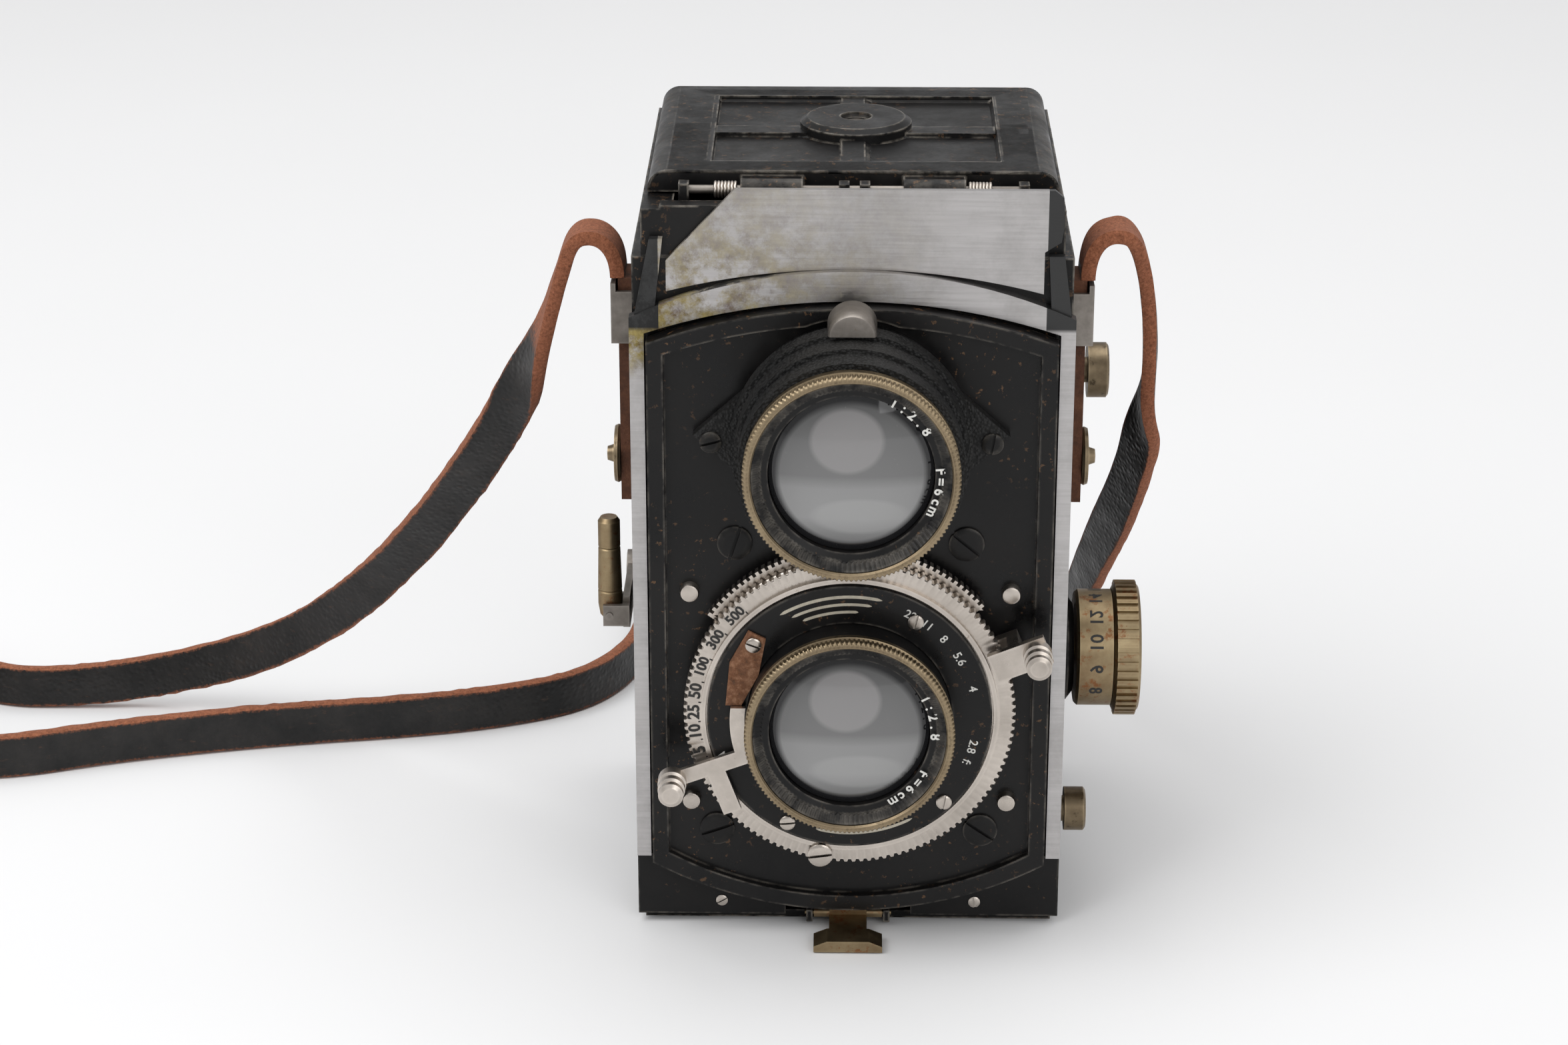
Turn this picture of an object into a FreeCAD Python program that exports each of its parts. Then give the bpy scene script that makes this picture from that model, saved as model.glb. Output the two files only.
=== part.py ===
import FreeCAD, Part
import math
import os
import re
import Sketcher

# Twin lens reflex camera for 4 x 4 cm pictures on 46 mm roll film.
# +Z is up, the lenses look along -Y, and the origin is the mouth of the tripod socket
# in the middle of the base.  All lengths are millimetres.

os.makedirs("parts", exist_ok=True)
doc = FreeCAD.newDocument("TwinLensReflex")

# ---------------------------------------------------------------- driving dimensions
DIMENSIONS = {
    # body
    "front_y": -28, "half_wide": 30.25, "body_half": 29.9, "body_front": 2, "body_back": 54.2,
    "base_gap": 1.6, "body_top": 100.5, "wall": 1.6, "frame_thick": 2, "frame_band": 2,
    "frame_shoulder": 92.4, "frame_crown": 99.1, "frame_foot": 11.2,
    # moving lens panel
    "panel_half": 27.9, "panel_shoulder": 89.5, "panel_crown": 94.5, "panel_hip": 11.2,
    "panel_toe": 3.8, "panel_face": 1, "panel_rim": 2.3, "rim_proud": 2.2,
    # optical axes
    "view_z": 76.6, "take_z": 36.6, "lens_rim_r": 14.5, "lens_bead_r": 13.3, "glass_r": 11,
    "view_front": 19.7, "take_front": 14.4,
    # shutter
    "shutter_r": 19.8, "speed_r": 23.1, "stop_r": 24.2, "running_gap": 0.06,
    # hood
    "hood_half": 28.6, "hood_front": 2.1, "hood_back": 54, "hood_floor": 104.2, "hood_base_top": 107.1,
    "flap_axis_x": 23.4, "flap_z": 106.6, "flap_high": 13.5,
    "lid_low": 107.4, "lid_top": 110.4, "lid_hinge_y": 6.6, "lid_hinge_z": 108.6,
    # sides
    "focus_y": 16, "focus_z": 37.4, "drum_r": 8.4, "focus_r": 9.75,
    "crank_y": 32, "crank_z": 42, "crank_throw": 14,
    "spool_y": 43, "spool_z": 70.4, "feed_y": 13.6, "feed_z": 12.6, "flange_r": 9.8,
    # film
    "film_y": 51.6, "gate_half": 20.4,
    # back
    "back_thick": 1.2, "back_hinge_y": 56.6, "back_hinge_z": 84, "base_skin": 1.2,
    # tripod socket
    "socket_r": 4.76, "socket_deep": 6,
    # strap
    "lug_y": 20, "strap_wide": 7, "strap_thick": 2.2, "strap_bore": 2.2,
    "coil_r": 43, "coil_high": 7.2,
}

sheet = doc.addObject("Spreadsheet::Sheet", "Dims")
for row, (alias, number) in enumerate(DIMENSIONS.items(), start=1):
    sheet.set(f"A{row}", alias)
    sheet.set(f"B{row}", str(number))
    sheet.setAlias(f"B{row}", alias)
doc.recompute()

ALIASES = re.compile(r"\b(" + "|".join(DIMENSIONS) + r")\b")
TERM = re.compile(r"([+-]?)\s*([A-Za-z_0-9.]+(?:\s*[*/]\s*[A-Za-z_0-9.]+)*)")


def bound(text):
    """The same size as an expression that reads the sheet."""
    return ALIASES.sub(r"Dims.\1", str(text))


def size(text):
    """The number that a sum of products of sheet names and numbers gives."""
    total = 0.0
    for sign, product in TERM.findall(str(text).replace(" ", "")):
        parts = re.split(r"([*/])", product)
        amount = float(DIMENSIONS.get(parts[0], 0) if parts[0] in DIMENSIONS else parts[0])
        for mark, word in zip(parts[1::2], parts[2::2]):
            factor = float(DIMENSIONS[word] if word in DIMENSIONS else word)
            amount = amount * factor if mark == "*" else amount / factor
        total += -amount if sign == "-" else amount
    return total


SUB_PARTS = []


def label(thing, name):
    """Names a finished sub-part, which is then written to its own file."""
    thing.Label = name
    SUB_PARTS.append(thing)
    return thing


def place(thing, spot, rotation=None):
    """Puts a thing at a spot whose y is measured back from the front of the frame."""
    if rotation is not None:
        thing.Placement = FreeCAD.Placement(FreeCAD.Vector(), rotation)
    for axis, text in zip("xyz", spot):
        text = f"front_y + {text}" if axis == "y" else str(text)
        thing.setExpression(f"Placement.Base.{axis}", bound(text.replace("+ -", "- ")))
    return thing


def turn(axis, degrees):
    return FreeCAD.Rotation(FreeCAD.Vector(*axis), degrees)


ALONG_X = turn((0, 1, 0), 90)
ALONG_MINUS_Y = turn((1, 0, 0), 90)
ALONG_Y = turn((1, 0, 0), -90)
counter = 0


def fresh(word):
    global counter
    counter += 1
    return f"{word}_{counter}"


def box(low, high):
    """A box from its low corner to its high corner."""
    block = doc.addObject("Part::Box", fresh("block"))
    for side, a, b in zip(("Length", "Width", "Height"), low, high):
        block.setExpression(side, bound(f"({b}) - ({a})"))
    return place(block, low)


def rod(spot, radius, length, rotation=None):
    """A cylinder from its end at spot, along Z unless it is turned."""
    bar = doc.addObject("Part::Cylinder", fresh("rod"))
    bar.setExpression("Radius", bound(radius))
    bar.setExpression("Height", bound(length))
    return place(bar, spot, rotation)


def cut(base, *tools):
    for tool in tools:
        result = doc.addObject("Part::Cut", fresh("cut"))
        result.Base, result.Tool = base, tool
        base = result
    return base


def join(*things):
    result = doc.addObject("Part::MultiFuse", fresh("join"))
    result.Shapes = list(things)
    return result


def group(*things):
    """Separate identical pieces that share one file."""
    result = doc.addObject("Part::Compound", fresh("group"))
    result.Links = list(things)
    return result


def outline(body, role, points):
    """A closed sketch whose corners are each held by a pair of bound distances."""
    sketch = body.newObject("Sketcher::SketchObject", fresh("sketch"))
    plane = next(f for f in body.Origin.OriginFeatures if f.Role == role)
    sketch.AttachmentSupport = [(plane, "")]
    sketch.MapMode = "FlatFace"
    corners = [FreeCAD.Vector(size(a), size(b), 0) for a, b in points]
    count = len(corners)
    for i in range(count):
        sketch.addGeometry(Part.LineSegment(corners[i], corners[(i + 1) % count]), False)
    for i in range(count):
        sketch.addConstraint(Sketcher.Constraint("Coincident", i, 2, (i + 1) % count, 1))
    for i, pair in enumerate(points):
        for direction, text in zip("XY", pair):
            rule = Sketcher.Constraint(f"Distance{direction}", -1, 1, i, 1, size(text))
            index = sketch.addConstraint(rule)
            sketch.setExpression(f"Constraints[{index}]", bound(text))
    return sketch


TURNING = {"x": ("XY_Plane", "H_Axis"), "y": ("XY_Plane", "V_Axis"), "z": ("XZ_Plane", "V_Axis")}


def turned(axis, points, spot):
    """A body turned about X, Y or Z.  Points are (radius, run) for y and z, (run, radius) for x."""
    body = doc.addObject("PartDesign::Body", fresh("turned"))
    role, line = TURNING[axis]
    sketch = outline(body, role, points)
    solid = body.newObject("PartDesign::Revolution", fresh("revolution"))
    solid.Profile = sketch
    solid.ReferenceAxis = (sketch, [line])
    solid.Angle = 360
    return place(body, spot)


def padded(points, thick, spot, role="XZ_Plane"):
    """A plate of the given outline.  In XZ it grows towards -Y."""
    body = doc.addObject("PartDesign::Body", fresh("plate"))
    pad = body.newObject("PartDesign::Pad", fresh("pad"))
    pad.Profile = outline(body, role, points)
    pad.setExpression("Length", bound(thick))
    return place(body, spot)


def around(thing, count, centre, axis):
    """Copies of a thing spaced evenly round an axis through centre."""
    ring = []
    middle = FreeCAD.Vector(size(centre[0]), size("front_y") + size(centre[1]), size(centre[2]))
    doc.recompute()
    for k in range(count):
        copy = thing.Shape.copy()
        copy.rotate(middle, FreeCAD.Vector(*axis), 360 * k / count)
        ring.append(copy)
    return ring


def feature(shape):
    """A shape made directly, where primitives and sketches can't make it."""
    thing = doc.addObject("Part::Feature", fresh("shape"))
    thing.Shape = shape
    return thing


def vec(x, y, z):
    """A point from sizes, with y measured back from the front of the frame."""
    return FreeCAD.Vector(size(x), size("front_y") + size(y), size(z))


def face_plate(half, shoulder, crown, hip, toe, y, thick):
    """A plate in XZ with straight sides, an arched top and, if toe is given, an arched foot."""
    reach = size(half)
    left, right = vec(-reach, y, shoulder), vec(reach, y, shoulder)
    low_right, low_left = vec(reach, y, hip), vec(-reach, y, hip)
    edges = [Part.Arc(left, vec(0, y, crown), right).toShape(),
             Part.LineSegment(right, low_right).toShape()]
    if toe is None:
        edges.append(Part.LineSegment(low_right, low_left).toShape())
    else:
        edges.append(Part.Arc(low_right, vec(0, y, toe), low_left).toShape())
    edges.append(Part.LineSegment(low_left, left).toShape())
    return Part.Face(Part.Wire(edges)).extrude(FreeCAD.Vector(0, size(thick), 0))


# ---------------------------------------------------------------- body
def make_body_shell():
    """Die-cast body: mirror room above, cone room below it, and a film room at each end."""
    outer = box(("-body_half", "body_front", "base_gap"), ("body_half", "body_back", "body_top"))
    rooms = [
        box((-23, 4, 58), (23, "body_back-wall", 101)),
        box((-22, 4, 25), (22, 25, 56)),
        box(("-gate_half", 24, 16.2), ("gate_half", 60, "56.6")),
        box((-26.4, 3.4, 0), (26.4, 24.2, 23.4)),
        box((-26.4, 24, 0), (26.4, 60, 12.6)),
        box((-26.4, 33, 58), (26.4, 60, 80.6)),
        box((-26.4, "film_y", 12), (26.4, 60, 81)),
        rod((-24, "film_y", 14.3), 1.9, 48, ALONG_X),
        rod((-24, "film_y", 59), 1.9, 48, ALONG_X),
    ]
    holes = [rod((0, 6, z), 15.6, 8, ALONG_MINUS_Y) for z in ("view_z", "take_z")]
    axles = [rod((26, "spool_y", "spool_z"), 2.1, 6, ALONG_X),
             rod((26, "feed_y", "feed_z"), 2.1, 6, ALONG_X),
             rod((21, "focus_y", "focus_z"), 2.1, 11, ALONG_X),
             rod((-32, "crank_y", "crank_z"), 2.1, 12, ALONG_X)]
    bridge = box((-9, 22, "base_gap"), (9, 34, 12.7))
    bush_hole = rod((0, 28, 0), 6.25, 9.1)
    blocks = [box((x, "body_back-0.5", "back_hinge_z-1.4"),
                  (f"{x}+{wide}", "back_hinge_y+1.4", "back_hinge_z+1.4"))
              for x, wide in ((-19, 1.4), (-5.4, 10.8), (17.6, 1.4))]
    hinge_hole = rod((-20, "back_hinge_y", "back_hinge_z"), 0.71, 40, ALONG_X)
    carrier = doc.addObject("Part::Box", fresh("carrier"))
    carrier.Length, carrier.Width, carrier.Height = 46.4, 53, 0.8
    place(carrier, (-23.2, 8.5, 59.2), turn((1, 0, 0), 44))
    latch_slot = box((-9, 0, 0), (9, 3.5, 3.4))
    shell = join(cut(outer, *rooms, *holes, *axles, latch_slot), bridge, carrier, *blocks)
    label(cut(shell, bush_hole, hinge_hole), "body_shell")


def make_front_frame():
    """Aluminium border: two straight sides, a broad arched band and grey sloping shoulders."""
    whole = face_plate("half_wide", "frame_shoulder", "frame_crown", "frame_foot", None, 0, "frame_thick")
    inner = face_plate("half_wide-frame_band", "90.2", "94.9", "0", None, -1, 4)
    border = feature(whole.cut(inner))
    right = [(27, "frame_shoulder-1"), (29.8, "frame_shoulder-1"), (28.5, 101.2), (26.4, 101.2)]
    left = [(-29.8, "frame_shoulder-1"), (-27, "frame_shoulder-1"), (-25.6, 103.4), (-27.4, 103.4)]
    shoulders = [padded(side, 1.5, (0, 1.95, 0)) for side in (right, left)]
    label(join(border, *shoulders), "front_frame")


def make_name_plate():
    """Brushed plate above the arch, with its left corner broken away along a slant."""
    points = [("-25.2", 95.5), ("25.8", 95.5), ("25.8", 101.6), ("28", 103), ("28.4", 105.5),
              ("28.2", 109.2), ("27", 110.2), ("-15.8", 110.2), ("-25.2", 100.2)]
    plate = padded(points, 0.85, (0, 1.95, 0))
    arch = rod((0, 8, -0.9), 100, 14, ALONG_MINUS_Y)
    label(cut(plate, arch), "name_plate")


def make_front_chamber():
    """Black front wall of the lower film room, under the lens panel."""
    plate = box((-28, 1.1, 1.4), (28, 1.95, 22))
    wings = box(("-half_wide", 1.1, 1.4), ("half_wide", 1.95, 11))
    slot = box((-9, 0, 0), (9, 5, 3.4))
    label(cut(join(plate, wings), slot), "chamber_front")


def make_lens_panel():
    """Enamelled panel that carries both lenses and slides out to focus."""
    back = face_plate("panel_half", "panel_shoulder", "panel_crown", "panel_hip", "panel_toe",
                      "-panel_face", "panel_face+0.8")
    outer = face_plate("panel_half", "panel_shoulder", "panel_crown", "panel_hip", "panel_toe",
                       "-rim_proud", "rim_proud")
    inner = face_plate("panel_half-panel_rim", "panel_shoulder-1.6", "panel_crown-panel_rim",
                       "panel_hip+1.7", "panel_toe+panel_rim", -4, 5)
    shape = back.fuse(outer.cut(inner)).removeSplitter()
    for height, radius in (("view_z", 13.5), ("take_z", 14.3)):
        shape = shape.cut(Part.makeCylinder(radius, 8, vec(0, 4, height), FreeCAD.Vector(0, -1, 0)))
    barrel_room = Part.makeCylinder(16.6, 3, vec(0, "-panel_face", "view_z"), FreeCAD.Vector(0, -1, 0))
    label(feature(shape.cut(barrel_room)), "lens_panel")


make_body_shell()
make_front_frame()
make_name_plate()
make_front_chamber()
make_lens_panel()


# ---------------------------------------------------------------- viewing lens
def make_viewing_lens():
    """Black barrel on a diamond flange, a knurled rim, a name ring and two glasses."""
    barrel = turned("y", [("lens_bead_r", "-view_front+3.2"), (15.2, "-view_front+3.2"), (15.2, -12.4),
                          (15.8, -12.4), (15.8, -8), (16.4, -8), (16.4, -4.5), (15.6, -4.5),
                          (15.6, -1.05), (12.6, -1.05), (12.6, 3), (11.4, 3), (11.4, -14.6),
                          ("lens_bead_r", -14.6)],
                    (0, 0, "view_z"))
    ears = padded([("-21.6", 0), ("-12", 8.6), (12, 8.6), (21.6, 0), (12, -8.6), (-12, -8.6)],
                  1.9, (0, -1.05, "view_z"))
    bore = rod((0, 4, "view_z"), 12, 9, ALONG_MINUS_Y)
    label(join(barrel, cut(ears, bore)), "viewing_barrel")
    roof = rod((0, -2.4, "view_z+16.2"), 3.2, 6.6, ALONG_MINUS_Y)
    label(cut(roof, rod((0, 0, "view_z"), 16.45, 12, ALONG_MINUS_Y)), "peep_window")


def lens_ring(inner, outer, front, back, height):
    return turned("y", [(inner, front), (outer, front), (outer, back), (inner, back)], (0, 0, height))


def make_lens_fronts():
    """Push-on rims, name rings and glasses, the same for both lenses but for their place."""
    pair = (("view_z", "-view_front"), ("take_z", "-take_front"))
    for name, height, front in zip(("viewing", "taking"), *zip(*pair)):
        back = "-view_front+3.1" if name == "viewing" else "-take_front+2.7"
        label(lens_ring("lens_bead_r", "lens_rim_r", front, back, height), f"{name}_rim")
    rings = [turned("y", [("glass_r+0.1", f"{front}+2"), ("lens_bead_r-0.05", f"{front}+1"),
                          ("lens_bead_r-0.05", f"{front}+3.6"), ("glass_r+0.1", f"{front}+3.6")],
                    (0, 0, height)) for height, front in pair]
    label(group(*rings), "name_rings")
    glasses = [turned("y", [(0, f"{front}+1.3"), (4, f"{front}+1.5"), (8, f"{front}+2.1"),
                            ("glass_r", f"{front}+3"), ("glass_r", f"{front}+4.5"),
                            (8, f"{front}+4.8"), (0, f"{front}+5")], (0, 0, height))
               for height, front in pair]
    label(group(*glasses), "front_glasses")
    rear = [(0, -2.6), (6, -2.2), (10, -1), (10.6, 0.4), (10.6, 2.6), (0, 2.6)]
    label(group(*[turned("y", rear, (0, 0, height)) for height, _ in pair]), "rear_glasses")


# ---------------------------------------------------------------- shutter and taking lens
def toothed(disc_r, tip_r, count, front, back, first=0, last=360):
    """Teeth round the lens axis between two angles, each a small block."""
    teeth = []
    width = 2 * math.pi * size(tip_r) / count * 0.5
    for k in range(count):
        angle = 360 * k / count
        if first <= angle <= last:
            deep = size(tip_r) - size(disc_r)
            block = Part.makeBox(deep + 0.3, size(back) - size(front), width,
                                 vec(f"{disc_r}-0.3", front, 0) - FreeCAD.Vector(0, 0, width / 2))
            block.rotate(vec(0, 0, 0), FreeCAD.Vector(0, -1, 0), angle)
            block.translate(FreeCAD.Vector(0, 0, size("take_z")))
            teeth.append(block)
    return teeth


def ribbed_grip(reach, angle):
    """A small turned grip on the end of a lever, at an angle round the taking lens."""
    profile = [(0, -8.5), (2, -8.5), (2, -10.2), (1.6, -10.4), (1.6, -10.8), (1.9, -11), (1.9, -12),
               (1.5, -12.2), (1.5, -12.6), (1.75, -12.8), (1.75, -13.6), (1.2, -13.9), (0, -13.9)]
    across, up = reach * math.cos(math.radians(angle)), reach * math.sin(math.radians(angle))
    grip = turned("y", profile, (f"{across:.4f}", 0, f"take_z + {up:.4f}"))
    doc.recompute()
    return grip.Shape


def make_shutter():
    """Rim-set between-lens shutter with its speed ring, stop ring, cocking lever and face."""
    label(turned("y", [("12.6", -1.1), ("12.6", 2.6), ("14", 2.6), ("14", -1.1), ("shutter_r-1.5", -1.1),
                       ("shutter_r-1.5", -2.4), ("19.2", -2.4), ("19.2", -6.6), ("12.6", -6.6)],
                 (0, 0, "take_z")), "shutter_case")

    speed = lens_ring("19.2+running_gap", "speed_r-0.7", -6.2, -4.5, "take_z")
    lip = lens_ring("shutter_r+0.25", "speed_r-2.4", -7, -6.1, "take_z")
    doc.recompute()
    body = speed.Shape.fuse([lip.Shape] + toothed("speed_r-0.8", "speed_r", 120, -6.2, -4.5))
    label(feature(body.removeSplitter()), "speed_ring")

    stop = lens_ring("19.2+running_gap", 22.2, -4.2, -2.6, "take_z")
    doc.recompute()
    fine = toothed("22", "stop_r", 150, -4.2, -2.6, 40, 76)
    fine += toothed("22", "stop_r", 150, -4.2, -2.6, 104, 144)
    sectors = [Part.makeCylinder(size("stop_r") - 0.5, 1.6, vec(0, -4.2, "take_z"),
                                 FreeCAD.Vector(0, 1, 0), 360)]
    wedge_a = Part.makeBox(17.5, 4, 30, vec(4.6, -5, "take_z+15"))
    wedge_b = Part.makeBox(17.5, 4, 30, vec(-22.1, -5, "take_z+14"))
    sector = sectors[0].common(wedge_a.fuse(wedge_b))
    sector = sector.cut(Part.makeCylinder(21, 5, vec(0, -5, "take_z"), FreeCAD.Vector(0, 1, 0)))
    arm = Part.makeBox(5.2, 1.6, 4.2, vec(20.6, -4.2, "take_z-2.1"))
    riser = Part.makeBox(1.6, 4.8, 4.2, vec(24.2, -7.9, "take_z-2.1"))
    lug = Part.makeBox(8.2, 1, 4.2, vec(21.2, -8.6, "take_z-2.1"))
    lever = arm.fuse([riser, lug])
    lever.rotate(vec(0, 0, "take_z"), FreeCAD.Vector(0, -1, 0), 22)
    grip = ribbed_grip(27.8, 22)
    label(feature(stop.Shape.fuse(fine + [sector, lever, grip]).removeSplitter()), "stop_ring")

    label(lens_ring(14.3, "shutter_r", -7.4, -6.65, "take_z"), "shutter_face")
    hub = Part.makeCylinder(16.6, 0.8, vec(0, -8.9, "take_z"), FreeCAD.Vector(0, 1, 0))
    hub = hub.cut(Part.makeCylinder(14.55, 3, vec(0, -10, "take_z"), FreeCAD.Vector(0, 1, 0)))
    keep = Part.makeBox(17, 4, 7, vec(-17, -10, "take_z-5"))
    hub = hub.common(keep)
    arm = Part.makeBox(11.6, 0.8, 2.2, vec(-26.6, -8.9, "take_z-1.1"))
    foot = Part.makeBox(2.6, 0.8, 7.2, vec(-21.4, -8.9, "take_z-7.4"))
    lever = arm.fuse(foot)
    lever.rotate(vec(0, 0, "take_z"), FreeCAD.Vector(0, -1, 0), 20.4)
    grip = ribbed_grip(26.3, 200.4)
    label(feature(hub.fuse([lever, grip]).removeSplitter()), "release_lever")

    label(turned("y", [(12.7, -6.7), (14.2, -6.7), (14.2, "-take_front+2.8"),
                       ("lens_bead_r", "-take_front+2.8"), ("lens_bead_r", -10.6), (11.4, -10.6),
                       (11.4, -6.7)], (0, 0, "take_z")), "taking_barrel")
    blades = []
    inside_case = Part.makeCylinder(12.4, 4, vec(0, -2.8, "take_z"), FreeCAD.Vector(0, -1, 0))
    for k in range(10):
        leaf = Part.makeBox(9.6, 0.12, 12, vec(-1.2, f"-4.6+{k}*0.13", "take_z+2.8"))
        leaf.rotate(vec(0, 0, "take_z"), FreeCAD.Vector(0, -1, 0), 36 * k)
        blades.append(leaf.common(inside_case))
    label(feature(Part.makeCompound(blades)), "iris_blades")
    screws = [(9, -7.4, "take_z + 14.6"), (13.3, -7.4, "take_z - 12.8"), (-8.6, -7.4, "take_z - 16.2"),
              (-13.3, -7.95, "take_z + 11.2")]
    heads = [rod(spot, 1.1, 0.6, ALONG_MINUS_Y) for spot in screws]
    keeper = rod((-4, -7.05, "take_z - 21.4"), 1.75, 0.7, ALONG_MINUS_Y)
    label(group(*heads, keeper), "shutter_screws")
    leaf = [(-17.2, 2), (-16.6, 8.4), (-14, 13.2), (-11.6, 12), (-12.6, 6.6), (-15, 2)]
    label(padded(leaf, 0.45, (0, -7.45, "take_z")), "sector_plate")


def make_panel_fittings():
    """Four bright posts and four big slotted screws on the enamel panel."""
    posts = [(x, -1.02, z) for x in (-22.3, 22.3) for z in (53, 21.1)]
    label(group(*[rod(p, 1.35, 1.5, ALONG_MINUS_Y) for p in posts]), "panel_posts")
    big = [(-16, -1.02, 60.2), (16, -1.02, 60.2), (-18.7, -1.02, 16.3), (18.7, -1.02, 16.3)]
    heads = [rod(p, 2.45, 0.7, ALONG_MINUS_Y) for p in big]
    heads += [rod((x, -2.95, "view_z-0.9"), 1.5, 0.7, ALONG_MINUS_Y) for x in (-19.2, 19.2)]
    label(group(*heads), "panel_screws")


make_viewing_lens()
make_lens_fronts()
make_shutter()
make_panel_fittings()


# ---------------------------------------------------------------- finder and hood
def make_finder():
    """Ground glass over a mirror that leans back on the wall cast across the mirror room."""
    label(box((-22.9, 4.1, 98.6), (22.9, 52.5, "body_top-0.5")), "ground_glass")
    plate = Part.makeBox(40, 52, 1.4, vec(-20, 8.5, 60.6))
    plate.rotate(vec(0, 8.5, 60.6), FreeCAD.Vector(1, 0, 0), 44)
    label(feature(plate), "mirror")


def make_hood():
    """Folding hood: a base frame, a cast lid hinged in front, and three thin flaps under it."""
    outer = box(("-hood_half", "hood_front", "body_top"), ("hood_half", "hood_back", "hood_base_top"))
    inner = [box((-22.4, 9.4, 100), (22.4, 49.8, 110)),
             box((-24.3, 5.4, "hood_floor"), (24.3, 51, 110))]
    front = box((-26, "hood_front", "hood_base_top-0.5"), (26, 4.6, 107.6))
    ears = [box((x, 5.5, "hood_floor-0.2"), (x + 1.4, 7.6, 109.6)) for x in (-23.6, -1.9, 0.9, 22.4)]
    rod_hole = rod((-30, "lid_hinge_y", "lid_hinge_z"), 0.6, 60, ALONG_X)
    label(cut(join(cut(outer, *inner), front, *ears), rod_hole), "hood_base")

    lid = box(("-hood_half+0.6", 9.4, "lid_low"), ("hood_half-0.6", "hood_back", "lid_top"))
    edges = doc.addObject("Part::Fillet", fresh("rounding"))
    doc.recompute()
    edges.Base = lid
    picked = []
    for number, edge in enumerate(lid.Shape.Edges, start=1):
        middle = edge.BoundBox.Center
        if edge.BoundBox.YLength > 5 and middle.z > size("lid_low") + 1:
            picked.append((number, 2.6, 2.6))
    edges.Edges = picked
    rim_cut = box((-19.4, 14, "lid_top-0.9"), (20.2, 48.6, "lid_top+1"))
    rib_x = box((-20, 29.6, "lid_top-1.4"), (20, 33.2, "lid_top-0.25"))
    rib_y = box((-1.7, 13, "lid_top-1.4"), (1.7, 49, "lid_top-0.25"))
    boss = turned("z", [(0, -1.5), (7.9, -1.5), (7.9, 0.5), (6.9, 1.2), (2.2, 1.2), (2.2, 0.4), (0, 0.4)],
                  (0.4, 33.4, "lid_top"))
    under = box((-23.4, 12, 100), (23.4, 50.6, "lid_low+0.9"))
    knuckles = [rod((x, "lid_hinge_y", "lid_hinge_z"), 1.45, 8.4, ALONG_X) for x in (-15.2, 6.8)]
    knuckles += [box((x, 6.8, 107.5), (x + 8.4, 10, 109.7)) for x in (-15.2, 6.8)]
    hole = rod((-30, "lid_hinge_y", "lid_hinge_z"), 0.66, 60, ALONG_X)
    pin = rod((-4.6, 14.2, 107.75), 0.22, 9.2, ALONG_X)
    pin_ends = [box((x, 13.8, 107.4), (x + 0.8, 14.6, 108.5)) for x in (-4.6, 3.8)]
    cover = join(cut(edges, rim_cut, under), rib_x, rib_y, boss, pin, *pin_ends, *knuckles)
    label(cut(cover, hole), "hood_lid")

    coils = []
    for x in (-18.6, 15.8):
        for k in range(7):
            wire = Part.makeTorus(0.95, 0.22, vec(f"{x}+{k}*0.45", "lid_hinge_y", "lid_hinge_z"),
                                  FreeCAD.Vector(1, 0, 0))
            coils.append(wire)
    label(feature(Part.makeCompound(coils)), "lid_springs")

    side = [(0, 13), (7, 13), ("flap_high", 19.5), ("flap_high", 35.2), (0.4, 48.2), (0, 48.2)]
    for name, sign in (("hood_flap_left", "-"), ("hood_flap_right", "")):
        points = [(f"{sign}flap_axis_x {'+' if sign else '-'} {x}", y) for x, y in side]
        plate = padded(points, 0.45, (0, 0, "flap_z"), "XY_Plane")
        barrel = rod((f"{sign}flap_axis_x", 12.8, "flap_z"), 0.55, 35.6, ALONG_Y)
        bore = rod((f"{sign}flap_axis_x", 10, "flap_z"), 0.28, 41, ALONG_Y)
        label(cut(join(plate, barrel), bore), name)
    points = [(-21.4, 49.6), (-21.4, 49.2), (-9.3, "49.7-flap_high"),
              (9.3, "49.7-flap_high"), (21.4, 49.2), (21.4, 49.6)]
    plate = padded(points, 0.45, (0, 0, "flap_z"), "XY_Plane")
    barrel = rod((-21.4, 49.7, "flap_z"), 0.55, 42.8, ALONG_X)
    bore = rod((-24, 49.7, "flap_z"), 0.28, 48, ALONG_X)
    label(cut(join(plate, barrel), bore), "hood_flap_rear")

    pins = [rod((x, 11.8, "flap_z"), 0.22, 37.3, ALONG_Y) for x in ("-flap_axis_x", "flap_axis_x")]
    pins.append(rod((-22.8, 49.7, "flap_z"), 0.22, 45.6, ALONG_X))
    posts = [(f"{x}-0.4", y) for x in ("-flap_axis_x", "flap_axis_x") for y in (11.8, 48.6)]
    posts += [(x, 49.5) for x in (-22.9, 22.1)]
    holders = [box((x, y, "hood_floor+0.02"), (f"{x} + 0.8", y + 0.5, "flap_z+0.4")) for x, y in posts]
    label(group(rod((-23.5, "lid_hinge_y", "lid_hinge_z"), 0.58, 47, ALONG_X),
                rod((-18.4, "back_hinge_y", "back_hinge_z"), 0.7, 36.8, ALONG_X),
                join(*pins, *holders)), "hinge_rods")


def make_magnifier():
    """Swing-out magnifier on a pin under the lid."""
    hoop = rod((0, 26.4, 107.35), 8.4, 0.8)
    hollow = rod((0, 26.4, 107), 7.2, 2)
    arm = box((-2.6, 14.2, 107.35), (2.6, 19.2, 108.15))
    barrel = rod((-3.4, 14.2, 107.75), 0.5, 6.8, ALONG_X)
    bore = rod((-5, 14.2, 107.75), 0.28, 10, ALONG_X)
    label(cut(join(hoop, arm, barrel), hollow, bore), "magnifier_frame")
    label(turned("z", [(0, 0.05), (7.1, 0.25), (7.1, 0.55), (0, 0.75)], (0, 26.4, 107.35)), "magnifier_lens")


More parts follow.
